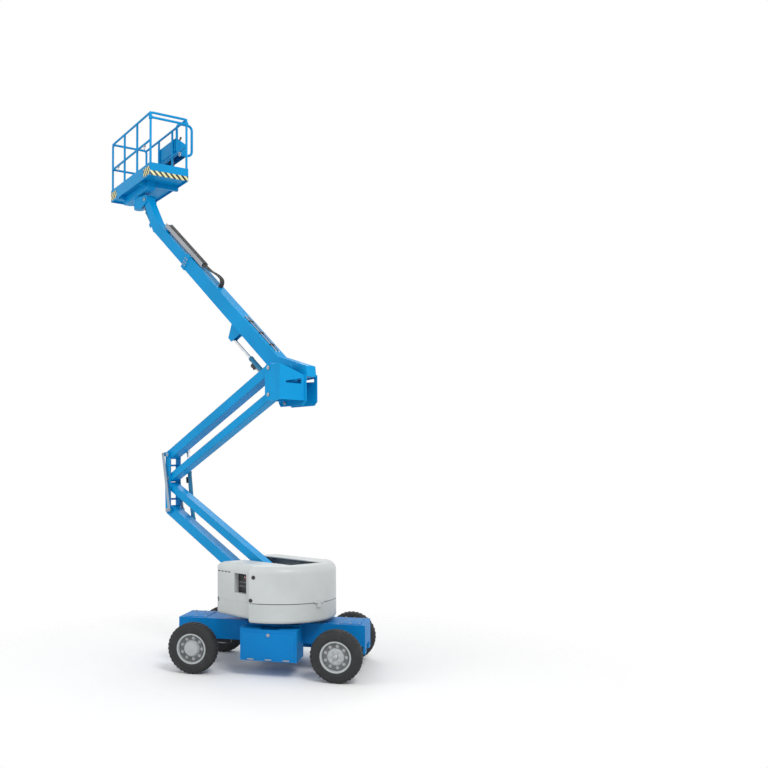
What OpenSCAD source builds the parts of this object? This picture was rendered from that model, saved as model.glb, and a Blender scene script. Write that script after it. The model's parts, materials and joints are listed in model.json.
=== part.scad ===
// Articulating boom lift, raised as in the photo, in millimetres.
// +X points to the steered end, +Z up, and the origin is on the ground under the slew axis.

/* [Chassis] */
// Distance between the two axles
wheelbase = 2030; // [1800:10:2300]
// Distance between the mid planes of the left and right wheels
track = 1560; // [1450:10:1700]
// Width of the welded frame
frame_w = 640; // [560:10:680]
// Height of the frame's top plate
deck_z = 700; // [680:5:730]
// Depth of the welded frame
frame_d = 290; // [240:10:320]
// Plate thickness of the frame
frame_t = 14; // [8:1:20]
// Length of a battery box between the wheels
box_l = 800; // [700:10:840]
// Height of a battery box
box_h = 430; // [360:10:440]
// Outer half width over the battery boxes
box_half_w = 800; // [760:5:860]
// Offset of the battery boxes along the chassis
box_x = 75; // [0:5:120]

/* [Wheels] */
// Outer radius of a tyre
tyre_r = 355; // [330:1:360]
// Width of a tyre
tyre_w = 230; // [200:5:240]
// Radius of the rim
rim_r = 205; // [190:1:215]
// Distance from the slew axis plane to a king pin
king_y = 585; // [570:5:600]
// Radius of a wheel hub
hub_r = 95; // [80:1:110]

/* [Slewing] */
// Slew angle of the turntable in the photo
slew = -35; // [-60:1:0]
// Outer radius of the slew ring
ring_r = 330; // [300:5:350]
// Height of the slew ring
ring_h = 82; // [70:1:90]

/* [Turntable] */
// Half width over the side covers
cover_half_w = 760; // [740:5:790]
// Reach of the left cover on the boom side
front_left = 830; // [780:5:860]
// Reach of the right cover on the boom side
front_right = 440; // [400:5:500]
// Tail radius of the hood and the counterweight
tail_r = 885; // [865:5:900]
// Height of the covers' top
cover_top = 1540; // [1500:5:1600]
// Height of the belt seam round the covers
belt_z = 1020; // [980:5:1060]
// Distance from the slew axis to the hood's seam
seam_x = 340; // [320:5:360]
// Wall of a moulded cover
cover_t = 14; // [8:1:20]
// Half width of the open channel for the booms
channel_half_w = 310; // [305:1:330]
// Radius of the covers' and the hood's upper shoulder
shoulder_r = 115; // [80:5:140]
// Radius of the lower edge of the covers
hem_r = 45; // [30:1:60]
// Underside of the counterweight
weight_z = 752; // [745:1:770]
// Reach of the boom channel into the hood
notch_x = 660; // [650:5:700]

/* [Riser arms] */
// Length of both riser arms between pins
arm_l = 2790; // [2650:10:2850]
// Angle of the riser arms above the horizontal
arm_angle = 26; // [20:1:32]
// Width of a riser arm
arm_w = 170; // [150:5:180]
// Depth of the lower riser arm
low_arm_d = 160; // [150:1:170]
// Depth of the upper riser arm
up_arm_d = 148; // [140:1:160]
// Depth of a riser link
link_d = 122; // [100:1:124]
// Width of a riser link
link_w = 150; // [120:1:160]
// Height of the lowest riser pin
root_z = 980; // [970:5:1000]
// Distance of the riser pins behind the slew axis
root_x = 170; // [150:5:190]
// Distance between the pins of the lower arm and its link
low_gap = 400; // [380:5:410]
// Distance between the pins of the upper arm and its link
up_gap = 390; // [380:5:400]
// Distance between the two arm pins on the middle pivot
mid_h = 920; // [910:5:960]
// Sideways offset of the riser plane
riser_y = -170; // [-190:5:-160]

/* [Boom] */
// Angle of the boom above the horizontal
boom_angle = 41; // [30:1:50]
// Sideways offset of the boom plane
boom_y = 170; // [160:5:190]
// Distance of the boom pivot behind the upper riser pin
pivot_dx = 190; // [170:5:210]
// Drop of the boom pivot below the upper riser pin
pivot_dz = 100; // [90:5:110]
// Drop of the boom's centre line below its pivot
boom_drop = 134; // [128:1:140]
// Length of the outer boom section from its pivot
boom_l = 3520; // [3400:10:3650]
// Width of the outer boom section
boom_w = 190; // [180:1:200]
// Depth of the outer boom section
boom_d = 236; // [226:1:246]
// Wall of the boom sections
boom_t = 7; // [5:1:9]
// How far the inner section is out in the photo
boom_out = 700; // [500:10:900]
// Length of the inner section
inner_l = 3500; // [3300:10:3600]
// Width of the inner section
inner_w = 150; // [140:1:156]
// Depth of the inner section
inner_d = 190; // [180:1:200]
// Length of the gooseneck beyond its bend
neck_l = 640; // [600:10:680]
// Bend of the gooseneck
neck_angle = 20; // [15:1:25]

/* [Platform] */
// Platform length
plat_l = 1830; // [1700:10:1900]
// Platform depth
plat_d = 760; // [720:10:800]
// Height of the top rail above the floor
rail_h = 1110; // [1050:10:1150]
// Radius of a rail tube
rail_r = 21; // [16:1:24]
// Height of the toe board
toe_h = 190; // [150:5:210]
// Turn of the platform from straight ahead
plat_turn = 80; // [60:1:90]
// Distance from the outboard edge to the rotator
rotator_in = 200; // [180:5:240]

/* [Hidden] */
$fn = 28;
pin_r = 22;
bore_r = 22.6;
plate_t = 12;
side_gap = 6;
eye_w = arm_w + 16;
plate_in = eye_w / 2 + side_gap;
plate_out = plate_in + plate_t;
wheel_z = tyre_r;
rim_seat = 15;
frame_bot = deck_z - frame_d;
turn_z = deck_z + ring_h;
base_t = 45;
base_top = turn_z + base_t;
root = [root_x, root_z];
mid_low = root + arm_l * [-cos(arm_angle), sin(arm_angle)];
mid_up = mid_low + [0, mid_h];
upper = mid_up + arm_l * [cos(arm_angle), sin(arm_angle)];
pivot = upper + [pivot_dx, -pivot_dz];
boom_dir = [-cos(boom_angle), sin(boom_angle)];
boom_nrm = [sin(boom_angle), cos(boom_angle)];
joint_s = boom_l + 200 + boom_out;
bend_s = joint_s + 300;
bend = pivot - boom_drop * boom_nrm + bend_s * boom_dir;
neck_dir = [-cos(boom_angle + neck_angle), sin(boom_angle + neck_angle)];
knuckle = bend + neck_l * neck_dir;
rotator = knuckle + [-315, 0];
floor_z = knuckle[1] + 292;
lever_r = 90;
lever_turn = 5;
lever_t = 12;
timing_y = riser_y + plate_out + 6;
timing_t = 14;
lever_y = timing_y + timing_t + 6;
lever_low = lever_r * [cos(lever_turn), sin(lever_turn)];
lever_up = lever_r * [-cos(lever_turn), sin(lever_turn)];
lift2_low = 330;
lift2_up = 160;
lift2_r = 38;
lift2_y = lever_y + lever_t + 5 + lift2_r;
lift2_base = mid_low + lift2_low * [cos(arm_angle), -sin(arm_angle)];
lift2_eye = mid_up + lift2_up * [cos(arm_angle), sin(arm_angle)];
lift2_len = norm(lift2_eye - lift2_base);
lift2_angle = atan2(lift2_eye[1] - lift2_base[1], lift2_eye[0] - lift2_base[0]);
lift2_barrel = 795;
lift2_rod_l = 680;
lift1_base = pivot + [-205, -400];
lift1_s = 1650;
lift1_n = -455;
lift1_eye = pivot + lift1_s * boom_dir + lift1_n * boom_nrm;
lift1_r = 42;
lift1_len = norm(lift1_eye - lift1_base);
lift1_angle = atan2(lift1_eye[1] - lift1_base[1], lift1_eye[0] - lift1_base[0]);
lift1_barrel = 1180;
lift1_rod_l = 1000;
butt_s = -190;
ear_in = 31;
ear_t = 14;
level_back = 480;
level_off = 130;
level_r = 26;
level_pin_r = 13;
run_gap = 0.5;
level_base = knuckle - level_back * neck_dir - level_off * [sin(boom_angle + neck_angle), cos(boom_angle + neck_angle)];
level_eye = knuckle + [-139, -97];
level_len = norm(level_eye - level_base);
level_angle = atan2(level_eye[1] - level_base[1], level_eye[0] - level_base[0]);
level_barrel = 338;
level_rod_l = 310;
boom_top_n = boom_d / 2 - boom_drop;
boom_bot_n = -boom_d / 2 - boom_drop;
plat_x0 = -rotator_in;
plat_x1 = plat_d - rotator_in;
toe_t = 5;
post_in = rail_r + toe_t + run_gap;
post_x0 = plat_x0 + post_in;
post_x1 = plat_x1 - post_in;
post_y = plat_l / 2 - post_in;
hoop_r = 50;
rail_z = rail_h - rail_r;
mid_rail_z = 600;
bar_z = rail_z - 85;
sleeve_r = 34;
sleeve_h = 60;
console_x = post_x1 + rail_r + run_gap;
console_d = 230;
console_y = post_y / 3 + 60;
console_z = [620, 950];
guard_r = 24;
guard_w = 310;
guard_h = 570;
guard_y = -console_y - 40;
guard_top = rail_h + 120;
guard_bend = 90;
spine_z = -170;
spine_w = 150;
spine_l = 1120;
deck_d = 40;
skin_t = 5;
beam_t = 6;
console_t = 5;
flange_t = 40;
tower_in = plate_out + side_gap;
tower_out = tower_in + plate_t;
hinge_x = tail_r + 13;
hinge_z = belt_z + 10;
hinge_r = 11;
hinge_y = 40;
window_x = [-30, 230];
window_z = [1130, 1405];
window_in = 80;
window_t = 8;
over_drive = 370;
over_steer = 330;

// Everything above the slew ring is drawn straight over the drive end and then slewed.
module on_turntable() rotate([0, 0, slew]) children();

// A flat drawing in X and Z, thickened along Y from y.
module side(y, t) translate([0, y + t, 0]) rotate([90, 0, 0]) linear_extrude(t) children();

// A round bar along Y.
module cross_bar(at, y0, y1, r) translate([at[0], y0, at[1]]) rotate([-90, 0, 0]) cylinder(r = r, h = y1 - y0);

module swing(at, y, a) translate([at[0], y, at[1]]) rotate([0, a, 0]) children();

module box(x0, x1, y0, y1, z0, z1) translate([x0, y0, z0]) cube([x1 - x0, y1 - y0, z1 - z0]);

// An open box tube along X.
module tube(x0, x1, w, z0, z1, t) difference() {
    box(x0, x1, -w / 2, w / 2, z0, z1);
    box(x0 - 1, x1 + 1, -w / 2 + t, w / 2 - t, z0 + t, z1 - t);
}

module frame() color("dodgerblue") difference() {
    union() {
        box(-wheelbase / 2 - over_drive, wheelbase / 2 + over_steer, -frame_w / 2, frame_w / 2, frame_bot, deck_z);
        box(box_x - box_l / 2, box_x + box_l / 2, -520, 520, deck_z - 40, deck_z);
        for (y = [-1, 1]) box(wheelbase / 2 + over_steer - 30, wheelbase / 2 + over_steer, y * 230 - 90, y * 230 + 90, 300, deck_z);
    }
    box(-wheelbase / 2 - over_drive + frame_t, wheelbase / 2 + over_steer - frame_t, -frame_w / 2 + frame_t,
        frame_w / 2 - frame_t, frame_bot - 1, deck_z - frame_t);
    box(wheelbase / 2 - 110, wheelbase / 2 + 110, -frame_w, frame_w, frame_bot - 1, frame_bot + 90);
    box(-wheelbase / 2 - 100, -wheelbase / 2 + 95, -frame_w, frame_w, frame_bot - 1, frame_bot + 60);
    for (y = [-230, 230]) translate([wheelbase / 2 + over_steer - 40, y, 350]) rotate([0, 90, 0]) cylinder(r = 26, h = 60);
}

module battery_boxes() color("steelblue") for (y = [-1, 1])
    box(box_x - box_l / 2, box_x + box_l / 2, y > 0 ? frame_w / 2 : -box_half_w,
        y > 0 ? box_half_w : -frame_w / 2, deck_z - 40 - box_h, deck_z - 40);

module drive_axle() color("gray") translate([-wheelbase / 2, 0, wheel_z]) {
    rotate([90, 0, 0]) cylinder(r = 70, h = track - 240, center = true);
    for (y = [-1, 1]) translate([0, y * (track / 2 - 130), 0]) rotate([90, 0, 0])
        cylinder(r = 125, h = 110, center = true);
    for (y = [-1, 1]) translate([0, y * (track / 2 - 130), 0]) rotate([-90 * y, 0, 0])
        cylinder(r = hub_r - 8, h = 130 + rim_seat - run_gap);
    for (y = [-1, 1]) box(-80, 80, y * (frame_w / 2 - 25) - 25, y * (frame_w / 2 - 25) + 25, 0, frame_bot + 60 - wheel_z);
}

module steer_axle() color("gray") difference() {
    translate([wheelbase / 2, 0, 0]) {
        box(-65, 65, -king_y + 90, king_y - 90, wheel_z - 60, wheel_z + 70);
        box(-90, 90, -frame_w / 2, frame_w / 2, wheel_z + 69, frame_bot + 90);
        for (y = [-1, 1]) for (z = [wheel_z - 110, wheel_z + 75])
            box(-60, 60, y * king_y - 60 - y * 35, y * king_y + 60 - y * 35 + 0, z, z + 35);
        for (y = [-1, 1]) box(-60, 60, y * (king_y - 105) - 20, y * (king_y - 105) + 20, wheel_z - 110, wheel_z + 110);
        translate([140, 0, wheel_z]) rotate([90, 0, 0]) cylinder(r = 38, h = 620, center = true);
        box(60, 130, -60, 60, wheel_z - 30, wheel_z + 30);
    }
    for (y = [-1, 1]) translate([wheelbase / 2, y * king_y, 0]) cylinder(r = bore_r, h = deck_z);
}

module slew_ring() color("silver") translate([0, 0, deck_z]) difference() {
    cylinder(r = ring_r, h = ring_h / 2, $fn = 60);
    translate([0, 0, -1]) cylinder(r = ring_r - 90, h = ring_h, $fn = 60);
}

module steer_knuckle(y) color("gray") translate([wheelbase / 2, y * king_y, wheel_z]) {
    cylinder(r = pin_r, h = 216, center = true);
    cylinder(r = 45, h = 138, center = true);
    rotate([-90 * y, 0, 0]) cylinder(r = 42, h = track / 2 - king_y + rim_seat - run_gap);
    rotate([-90 * y, 0, 0]) cylinder(r = 60, h = 100);
    box(20, 150, -22, 22, -60, -30);
}

module knuckle_left() steer_knuckle(1);
module knuckle_right() steer_knuckle(-1);

// A wheel drawn with its axle along Z and its outer face up.
module tyre() color("black") rotate_extrude($fn = 44) polygon([
    [rim_r, -tyre_w / 2 + 28], [rim_r + 30, -tyre_w / 2 + 4], [tyre_r - 75, -tyre_w / 2], [tyre_r - 28, -tyre_w / 2 + 14],
    [tyre_r - 3, -tyre_w / 2 + 40], [tyre_r, 0], [tyre_r - 3, tyre_w / 2 - 40], [tyre_r - 28, tyre_w / 2 - 14],
    [tyre_r - 75, tyre_w / 2], [rim_r + 30, tyre_w / 2 - 4], [rim_r, tyre_w / 2 - 28]]);

module rim(hub) color("silver") rotate_extrude($fn = 44) polygon([
    [0, rim_seat], [hub_r, rim_seat], [hub_r + 15, 40], [rim_r - 22, 30], [rim_r - 22, -tyre_w / 2 + 16], [rim_r + 8, -tyre_w / 2 + 12],
    [rim_r - 1, -tyre_w / 2 + 27], [rim_r - 1, tyre_w / 2 - 27], [rim_r + 8, tyre_w / 2 - 12], [rim_r - 16, tyre_w / 2 - 16],
    [rim_r - 16, 62], [hub_r + 22, 62], [hub_r, hub], [0, hub]]);

module at_wheel(x, y) translate([x * wheelbase / 2, y * track / 2, wheel_z]) rotate([-90 * y, 0, 0]) children();

module tyre_drive_left() at_wheel(-1, 1) tyre();
module tyre_drive_right() at_wheel(-1, -1) tyre();
module tyre_steer_left() at_wheel(1, 1) tyre();
module tyre_steer_right() at_wheel(1, -1) tyre();
module rim_drive_left() at_wheel(-1, 1) rim(110);
module rim_drive_right() at_wheel(-1, -1) rim(110);
module rim_steer_left() at_wheel(1, 1) rim(84);
module rim_steer_right() at_wheel(1, -1) rim(84);

// Section of a side cover in Y and Z, drawn in by in, with a round shoulder and hem.
module cover_section(in) hull() {
    translate([cover_half_w - shoulder_r, cover_top - shoulder_r]) circle(shoulder_r - in);
    translate([cover_half_w - hem_r, turn_z + 5 + hem_r]) circle(hem_r - in);
    translate([channel_half_w - 20, turn_z + 5 + in]) square([1, cover_top - turn_z - 5 - 2 * in]);
}

// Outline of a side cover from the side, with its boom end rounded at the top.
module cover_side(front, in) hull() {
    translate([-front + shoulder_r, cover_top - shoulder_r]) circle(shoulder_r - in);
    translate([-front + in, turn_z]) square([1, 100]);
    translate([seam_x + 50, turn_z]) square([1, cover_top - turn_z - in]);
}

// Outline of a side cover from above, with its outer corner rounded.
module cover_plan(front, in) hull() {
    translate([-front + hem_r, cover_half_w - hem_r]) circle(hem_r - in);
    translate([-front + in, 0]) square([1, channel_half_w]);
    translate([seam_x + 50, 0]) square([1, cover_half_w - in]);
}

module cover_form(front, in) intersection() {
    translate([-front, 0, 0]) rotate([90, 0, 90]) linear_extrude(front + seam_x + in) cover_section(in);
    side(0, cover_half_w) cover_side(front, in);
    linear_extrude(cover_top) cover_plan(front, in);
}

// A moulded side cover for the left side: open to the channel, to the hood and below.
module cover(front) difference() {
    intersection() {
        cover_form(front, 0);
        box(-front, seam_x, channel_half_w + 12, cover_half_w, 0, cover_top);
    }
    cover_form(front, cover_t);
    box(-front + cover_t, seam_x + 1, 0, cover_half_w - hem_r, turn_z, turn_z + hem_r);
}

module cover_left() color("lightgray") on_turntable() cover(front_left);

// The right cover has a deep window for the ground controls.
module cover_right() color("lightgray") on_turntable() difference() {
    union() {
        mirror([0, 1, 0]) cover(front_right);
        box(window_x[0] - window_t, window_x[1] + window_t, -cover_half_w + cover_t - 1, -cover_half_w + window_in,
            window_z[0] - window_t, window_z[1] + window_t);
    }
    box(window_x[0], window_x[1], -cover_half_w - 1, -cover_half_w + window_in + 1, window_z[0], window_z[1]);
}

// Half of the tail's profile, turned about the slew axis.
module tail(in, z0) rotate_extrude($fn = 112) intersection() {
    hull() {
        translate([tail_r - shoulder_r, cover_top - shoulder_r]) circle(shoulder_r - in);
        translate([tail_r - hem_r, weight_z + hem_r]) circle(hem_r - in);
        translate([0, weight_z + in]) square([1, cover_top - weight_z - 2 * in]);
    }
    translate([0, z0]) square([tail_r, cover_top]);
}

module hood() color("gainsboro") on_turntable() {
    difference() {
        intersection() {
            tail(0, belt_z + 5);
            box(seam_x + 5, tail_r, -tail_r, tail_r, belt_z, cover_top);
        }
        tail(cover_t, belt_z);
        box(seam_x, notch_x, -channel_half_w, channel_half_w, belt_z, cover_top + 1);
    }
    for (y = [-1, 1]) {
        cross_bar([hinge_x, hinge_z], y > 0 ? hinge_y : -hinge_y - 50, y > 0 ? hinge_y + 50 : -hinge_y, hinge_r);
        box(tail_r - cover_t, hinge_x, y > 0 ? hinge_y : -hinge_y - 50, y > 0 ? hinge_y + 50 : -hinge_y,
            hinge_z - 4, hinge_z + hinge_r);
    }
}

module counterweight() color("gray") on_turntable() {
    intersection() {
        tail(0, 0);
        box(seam_x + 5, tail_r, -tail_r, tail_r, 0, belt_z - 5);
    }
    box(seam_x + 40, 620, -470, 470, belt_z - 6, 1330);
    box(tail_r - 20, hinge_x + hinge_r, -hinge_y + run_gap, hinge_y - run_gap, belt_z - 60, belt_z - 20);
    box(tail_r + 2, hinge_x + hinge_r, -hinge_y + run_gap, hinge_y - run_gap, belt_z - 40, hinge_z);
    cross_bar([hinge_x, hinge_z], -hinge_y + run_gap, hinge_y - run_gap, hinge_r);
}

// Plan of the turntable's base plate inside the covers.
module base_plan() union() {
    translate([-front_left + cover_t + run_gap, 0])
        square([front_left - cover_t - run_gap + seam_x + 4, cover_half_w - hem_r - run_gap]);
    translate([-front_right + cover_t + run_gap, -cover_half_w + hem_r + run_gap])
        square([front_right - cover_t - run_gap + seam_x + 4, cover_half_w]);
}

module turntable() color("dodgerblue") on_turntable() {
    translate([0, 0, deck_z + ring_h / 2 + run_gap]) cylinder(r = ring_r + 10, h = ring_h / 2, $fn = 60);
    translate([0, 0, turn_z]) linear_extrude(base_t) base_plan();
    for (y = [-1, 1]) side(y > 0 ? channel_half_w - 2 : -channel_half_w - 6, 8)
        polygon([[y > 0 ? -front_left + 60 : -front_right + 60, base_top - 1], [y > 0 ? -front_left + 60 : -front_right + 60, 1250],
            [y > 0 ? -400 : -300, 1400], [seam_x, 1400], [seam_x, base_top - 1]]);
    for (y = [riser_y - tower_out, riser_y + tower_in]) side(y, plate_t) polygon([root + [-190, base_top - 1 - root_z],
        root + [-80, 0], root + [-65, low_gap], root + [-30, low_gap + 42], root + [30, low_gap + 42],
        root + [70, low_gap], root + [150, 60], root + [165, base_top - 1 - root_z]]);
    for (z = [0, low_gap]) {
        cross_bar(root + [0, z], riser_y - tower_out - 8, riser_y + tower_out + 8, pin_r);
        for (y = [riser_y - tower_in - 1, riser_y + plate_in]) cross_bar(root + [0, z], y, y + tower_in - plate_in + 1, 32);
    }
    box(root_x + 110, root_x + 130, riser_y - tower_in - 1, riser_y + tower_in + 1, base_top - 1, base_top + 160);
}

module ground_controls() color("dimgray") on_turntable() box(window_x[0] - window_t, window_x[1] + window_t,
    -cover_half_w + window_in + run_gap, -cover_half_w + window_in + 60, window_z[0] - window_t, window_z[1] + window_t);

// A riser arm along +X from its pin on the middle pivot, which turns with it.
module arm(d) difference() {
    union() {
        tube(60, arm_l - 60, arm_w, -d / 2, d / 2, 8);
        for (x = [0, arm_l]) cross_bar([x, 0], -eye_w / 2, eye_w / 2, d / 2);
        for (x = [0, arm_l]) box(x == 0 ? 0 : x - 70, x == 0 ? 70 : x, -arm_w / 2, arm_w / 2, -d / 2, d / 2);
        cross_bar([0, 0], -plate_out - 8, lever_y + lever_t - riser_y, pin_r);
    }
    cross_bar([arm_l, 0], -200, 200, bore_r);
}

// A timing lever from an arm's pin to its end point.
module lever(end) side(lever_y, lever_t) hull() {
    circle(30);
    translate(end) circle(26);
}

module lower_arm() color("dodgerblue") on_turntable() {
    swing(mid_low, riser_y, arm_angle) arm(low_arm_d);
    cross_bar(lift2_base, riser_y + arm_w / 2 - 1, lift2_y - 32, 40);
    cross_bar(lift2_base, lift2_y - 33, lift2_y + 40, pin_r);
    translate([mid_low[0], 0, mid_low[1]]) lever(lever_low);
}

module link(l) difference() {
    union() {
        tube(50, l - 50, link_w, -link_d / 2, link_d / 2, 8);
        for (x = [0, l]) cross_bar([x, 0], -eye_w / 2, eye_w / 2, link_d / 2);
        for (x = [0, l]) box(x == 0 ? 0 : x - 60, x == 0 ? 60 : x, -link_w / 2, link_w / 2, -link_d / 2, link_d / 2);
    }
    for (x = [0, l]) cross_bar([x, 0], -200, 200, bore_r);
}

module lower_link() color("dodgerblue") on_turntable()
    swing(mid_low + [0, low_gap], riser_y, arm_angle) link(arm_l);

module upper_link() color("dodgerblue") on_turntable()
    swing(mid_up - [0, up_gap], riser_y, -arm_angle) link(arm_l);

module upper_arm() color("dodgerblue") on_turntable() {
    swing(mid_up, riser_y, -arm_angle) arm(up_arm_d);
    cross_bar(lift2_eye, riser_y + arm_w / 2 - 1, lift2_y - 32, 40);
    translate([mid_up[0], 0, mid_up[1]]) lever(lever_up);
    cross_bar(mid_up + lever_up, timing_y, lever_y + 1, 13.4);
}

module middle_pivot() color("dodgerblue") on_turntable() translate([mid_low[0], 0, mid_low[1]]) {
    for (y = [riser_y - plate_out, riser_y + plate_in]) side(y, plate_t) difference() {
        polygon([[30, -48], [58, -10], [58, mid_h + 10], [30, mid_h + 48], [-40, mid_h + 48], [-72, mid_h],
            [-86, mid_h / 2], [-72, 0], [-40, -48]]);
        for (z = [0, mid_h]) translate([0, z]) circle(bore_r);
    }
    for (z = [low_gap, mid_h - up_gap]) cross_bar([0, z], riser_y - plate_out - 8, riser_y + plate_out, pin_r);
    for (z = [180, mid_h - 180]) cross_bar([-58, z], riser_y - plate_in - 1, riser_y + plate_in + 1, 16);
}

module timing_link() color("lightsteelblue") on_turntable()
    translate([mid_low[0], 0, mid_low[1]]) side(timing_y, timing_t) difference() {
        hull() {
            translate(lever_low) circle(28);
            translate([0, mid_h] + lever_up) circle(28);
        }
        translate(lever_low) circle(14);
        translate([0, mid_h] + lever_up) circle(14);
    }

// A hydraulic barrel along +X from its base pin, open at the gland.
module barrel(l, r, rod, eye_half, pin) difference() {
    union() {
        translate([40, 0, 0]) rotate([0, 90, 0]) cylinder(r = r, h = l - 40);
        translate([l - 40, 0, 0]) rotate([0, 90, 0]) cylinder(r = r + 4, h = 40);
        cross_bar([0, 0], -eye_half, eye_half, r + 2);
        box(0, 60, -eye_half, eye_half, -r * 0.7, r * 0.7);
    }
    cross_bar([0, 0], -200, 200, pin + run_gap);
    translate([r + 30, 0, 0]) rotate([0, 90, 0]) cylinder(r = rod + run_gap, h = l);
}

// A piston rod along +X that ends in an eye at len.
module piston(len, l, rod, eye_half, pin) difference() {
    union() {
        translate([len - l, 0, 0]) rotate([0, 90, 0]) cylinder(r = rod, h = l - 20);
        cross_bar([len, 0], -eye_half, eye_half, rod + 16);
    }
    cross_bar([len, 0], -200, 200, pin + run_gap);
}

module riser_barrel() color("dimgray") on_turntable()
    swing(lift2_base, lift2_y, -lift2_angle) barrel(lift2_barrel, lift2_r - 4, 24, 26, pin_r);
module riser_rod() color("silver") on_turntable()
    swing(lift2_base, lift2_y, -lift2_angle) piston(lift2_len, lift2_rod_l, 24, 24, pin_r);
module lift_barrel() color("dimgray") on_turntable()
    swing(lift1_base, boom_y, -lift1_angle) barrel(lift1_barrel, lift1_r - 4, 26, 30, pin_r);
module lift_rod() color("silver") on_turntable()
    swing(lift1_base, boom_y, -lift1_angle) piston(lift1_len, lift1_rod_l, 26, 24, pin_r);
module level_barrel() color("dimgray") on_turntable()
    swing(level_base, boom_y, -level_angle) barrel(level_barrel, level_r, 15, 22, level_pin_r);
module level_rod() color("silver") on_turntable()
    swing(level_base, boom_y, -level_angle) piston(level_len, level_rod_l, 15, 20, level_pin_r);

module upper_pivot() color("dodgerblue") on_turntable() {
    for (y = [riser_y - plate_out, riser_y + plate_in]) side(y, plate_t)
        polygon([upper + [-60, -up_gap - 90], upper + [-82, -up_gap - 50], upper + [-82, 20], upper + [-50, 52], upper + [230, 52],
            upper + [252, 30], upper + [252, -up_gap - 90]]);
    for (z = [0, -up_gap]) cross_bar(upper + [0, z], riser_y - plate_out - 8, riser_y + plate_out, pin_r);
    for (y = [boom_y - boom_w / 2 - 8 - plate_t, boom_y + boom_w / 2 + 8]) side(y, plate_t) difference() {
        polygon([pivot + [-300, -450], pivot + [-340, -395], pivot + [-370, -120], pivot + [-300, -50], pivot + [-90, 70], pivot + [90, 70],
            pivot + [240, -10], pivot + [240, -395], pivot + [180, -450]]);
        polygon([pivot + [-260, -82], pivot + [180, -58], pivot + [180, -104]]);
    }
    cross_bar(pivot, boom_y - boom_w / 2 - 40, boom_y + boom_w / 2 + 48, pin_r + 8);
    cross_bar(lift1_base, boom_y - boom_w / 2 - 28, boom_y + boom_w / 2 + 28, pin_r);
    box(upper[0] - 40, upper[0] + 240, riser_y + plate_out - 1, boom_y - boom_w / 2 - 19, upper[1] - 440, upper[1] - 150);
}

// The boom is drawn flat along -X from its pivot and then raised.
module at_boom() on_turntable() swing(pivot, boom_y, boom_angle) children();

module boom_outer() color("dodgerblue") at_boom() difference() {
    union() {
        tube(-boom_l, butt_s + 5, boom_w, boom_bot_n, boom_top_n, boom_t);
        side(-boom_w / 2, boom_w) polygon([[-500, boom_top_n - 1], [85, 235], [205, 130], [butt_s, boom_bot_n], [butt_s, boom_top_n - 1]]);
        for (y = [-ear_in - ear_t, ear_in]) side(y, ear_t)
            polygon([[-lift1_s + 160, boom_bot_n + 1], [-lift1_s + 50, lift1_n - 45], [-lift1_s - 50, lift1_n - 45],
                [-lift1_s - 140, boom_bot_n + 1]]);
        translate([0, 0, -boom_drop]) difference() {
            box(-boom_l, -boom_l + 90, -boom_w / 2 + 1, boom_w / 2 - 1, -boom_d / 2 + 1, boom_d / 2 - 1);
            box(-boom_l - 1, -boom_l + 91, -inner_w / 2 - run_gap, inner_w / 2 + run_gap, -inner_d / 2 - run_gap,
                inner_d / 2 + run_gap);
        }
        tube(-boom_l, -boom_l + 120, boom_w + 24, boom_bot_n - 12, boom_top_n + 12, 14);
    }
    cross_bar([0, 0], -200, 200, pin_r + 8.6);
}

// The gooseneck's side outline, drawn in by in and open towards the boom.
module neck(in) {
    polygon([[in / 8, -inner_d / 2 + in], [in / 8, inner_d / 2 - in], [-300, inner_d / 2 - in], [-300, -inner_d / 2 + in]]);
    translate([-300, 0]) rotate(-neck_angle)
        polygon([[60, -95 + in], [60, 95 - in], [-neck_l + 10 * in, 68 - in], [-neck_l + 10 * in, -68 + in]]);
}

module at_joint() at_boom() translate([-joint_s, 0, -boom_drop]) children();

module at_neck() translate([-300, 0, 0]) rotate([0, neck_angle, 0]) children();

module gooseneck() color("dodgerblue") at_joint() difference() {
    union() {
        difference() {
            side(-inner_w / 2, inner_w) neck(0);
            side(-inner_w / 2 + boom_t, inner_w - 2 * boom_t) neck(boom_t + 3);
        }
        at_neck() cross_bar([-neck_l, 0], -inner_w / 2 - 4, inner_w / 2 + 4, 80);
        at_neck() for (y = [-40, 26]) side(y, 14) polygon([[-100, -88], [-125, -175], [-195, -175], [-230, -80]]);
        at_neck() cross_bar([level_back - neck_l, -level_off], -44, 44, level_pin_r);
    }
    at_neck() cross_bar([-neck_l, 0], -200, 200, bore_r);
}

module boom_inner() color("dodgerblue") at_joint() {
    tube(0, inner_l, inner_w, -inner_d / 2, inner_d / 2, boom_t);
    box(10, 60, -40, 40, inner_d / 2 - 1, boom_d / 2 + 24);
}

module cable_tray() color("darkgray") at_boom() translate([-joint_s, 0, boom_top_n + 24]) difference() {
    box(-40, 1350, -60, 60, 0, 70);
    box(-41, 1351, -54, 54, 6, 71);
}

module rotator_bracket() color("dodgerblue") on_turntable() {
    for (y = [boom_y - inner_w / 2 - 8 - plate_t, boom_y + inner_w / 2 + 8]) side(y, plate_t)
        polygon([knuckle + [80, 40], knuckle + [40, 80], rotator + [0, 80], rotator + [0, -80],
            level_eye + [-60, -40], level_eye + [30, -40], knuckle + [60, -60]]);
    cross_bar(knuckle, boom_y - inner_w / 2 - 28, boom_y + inner_w / 2 + 28, pin_r);
    translate([rotator[0], boom_y, rotator[1] - 100]) cylinder(r = 98, h = floor_z - rotator[1] + 100 + spine_z - flange_t - run_gap);
}

module on_platform() on_turntable() translate([rotator[0], boom_y, floor_z]) rotate([0, 0, plat_turn]) children();

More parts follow.
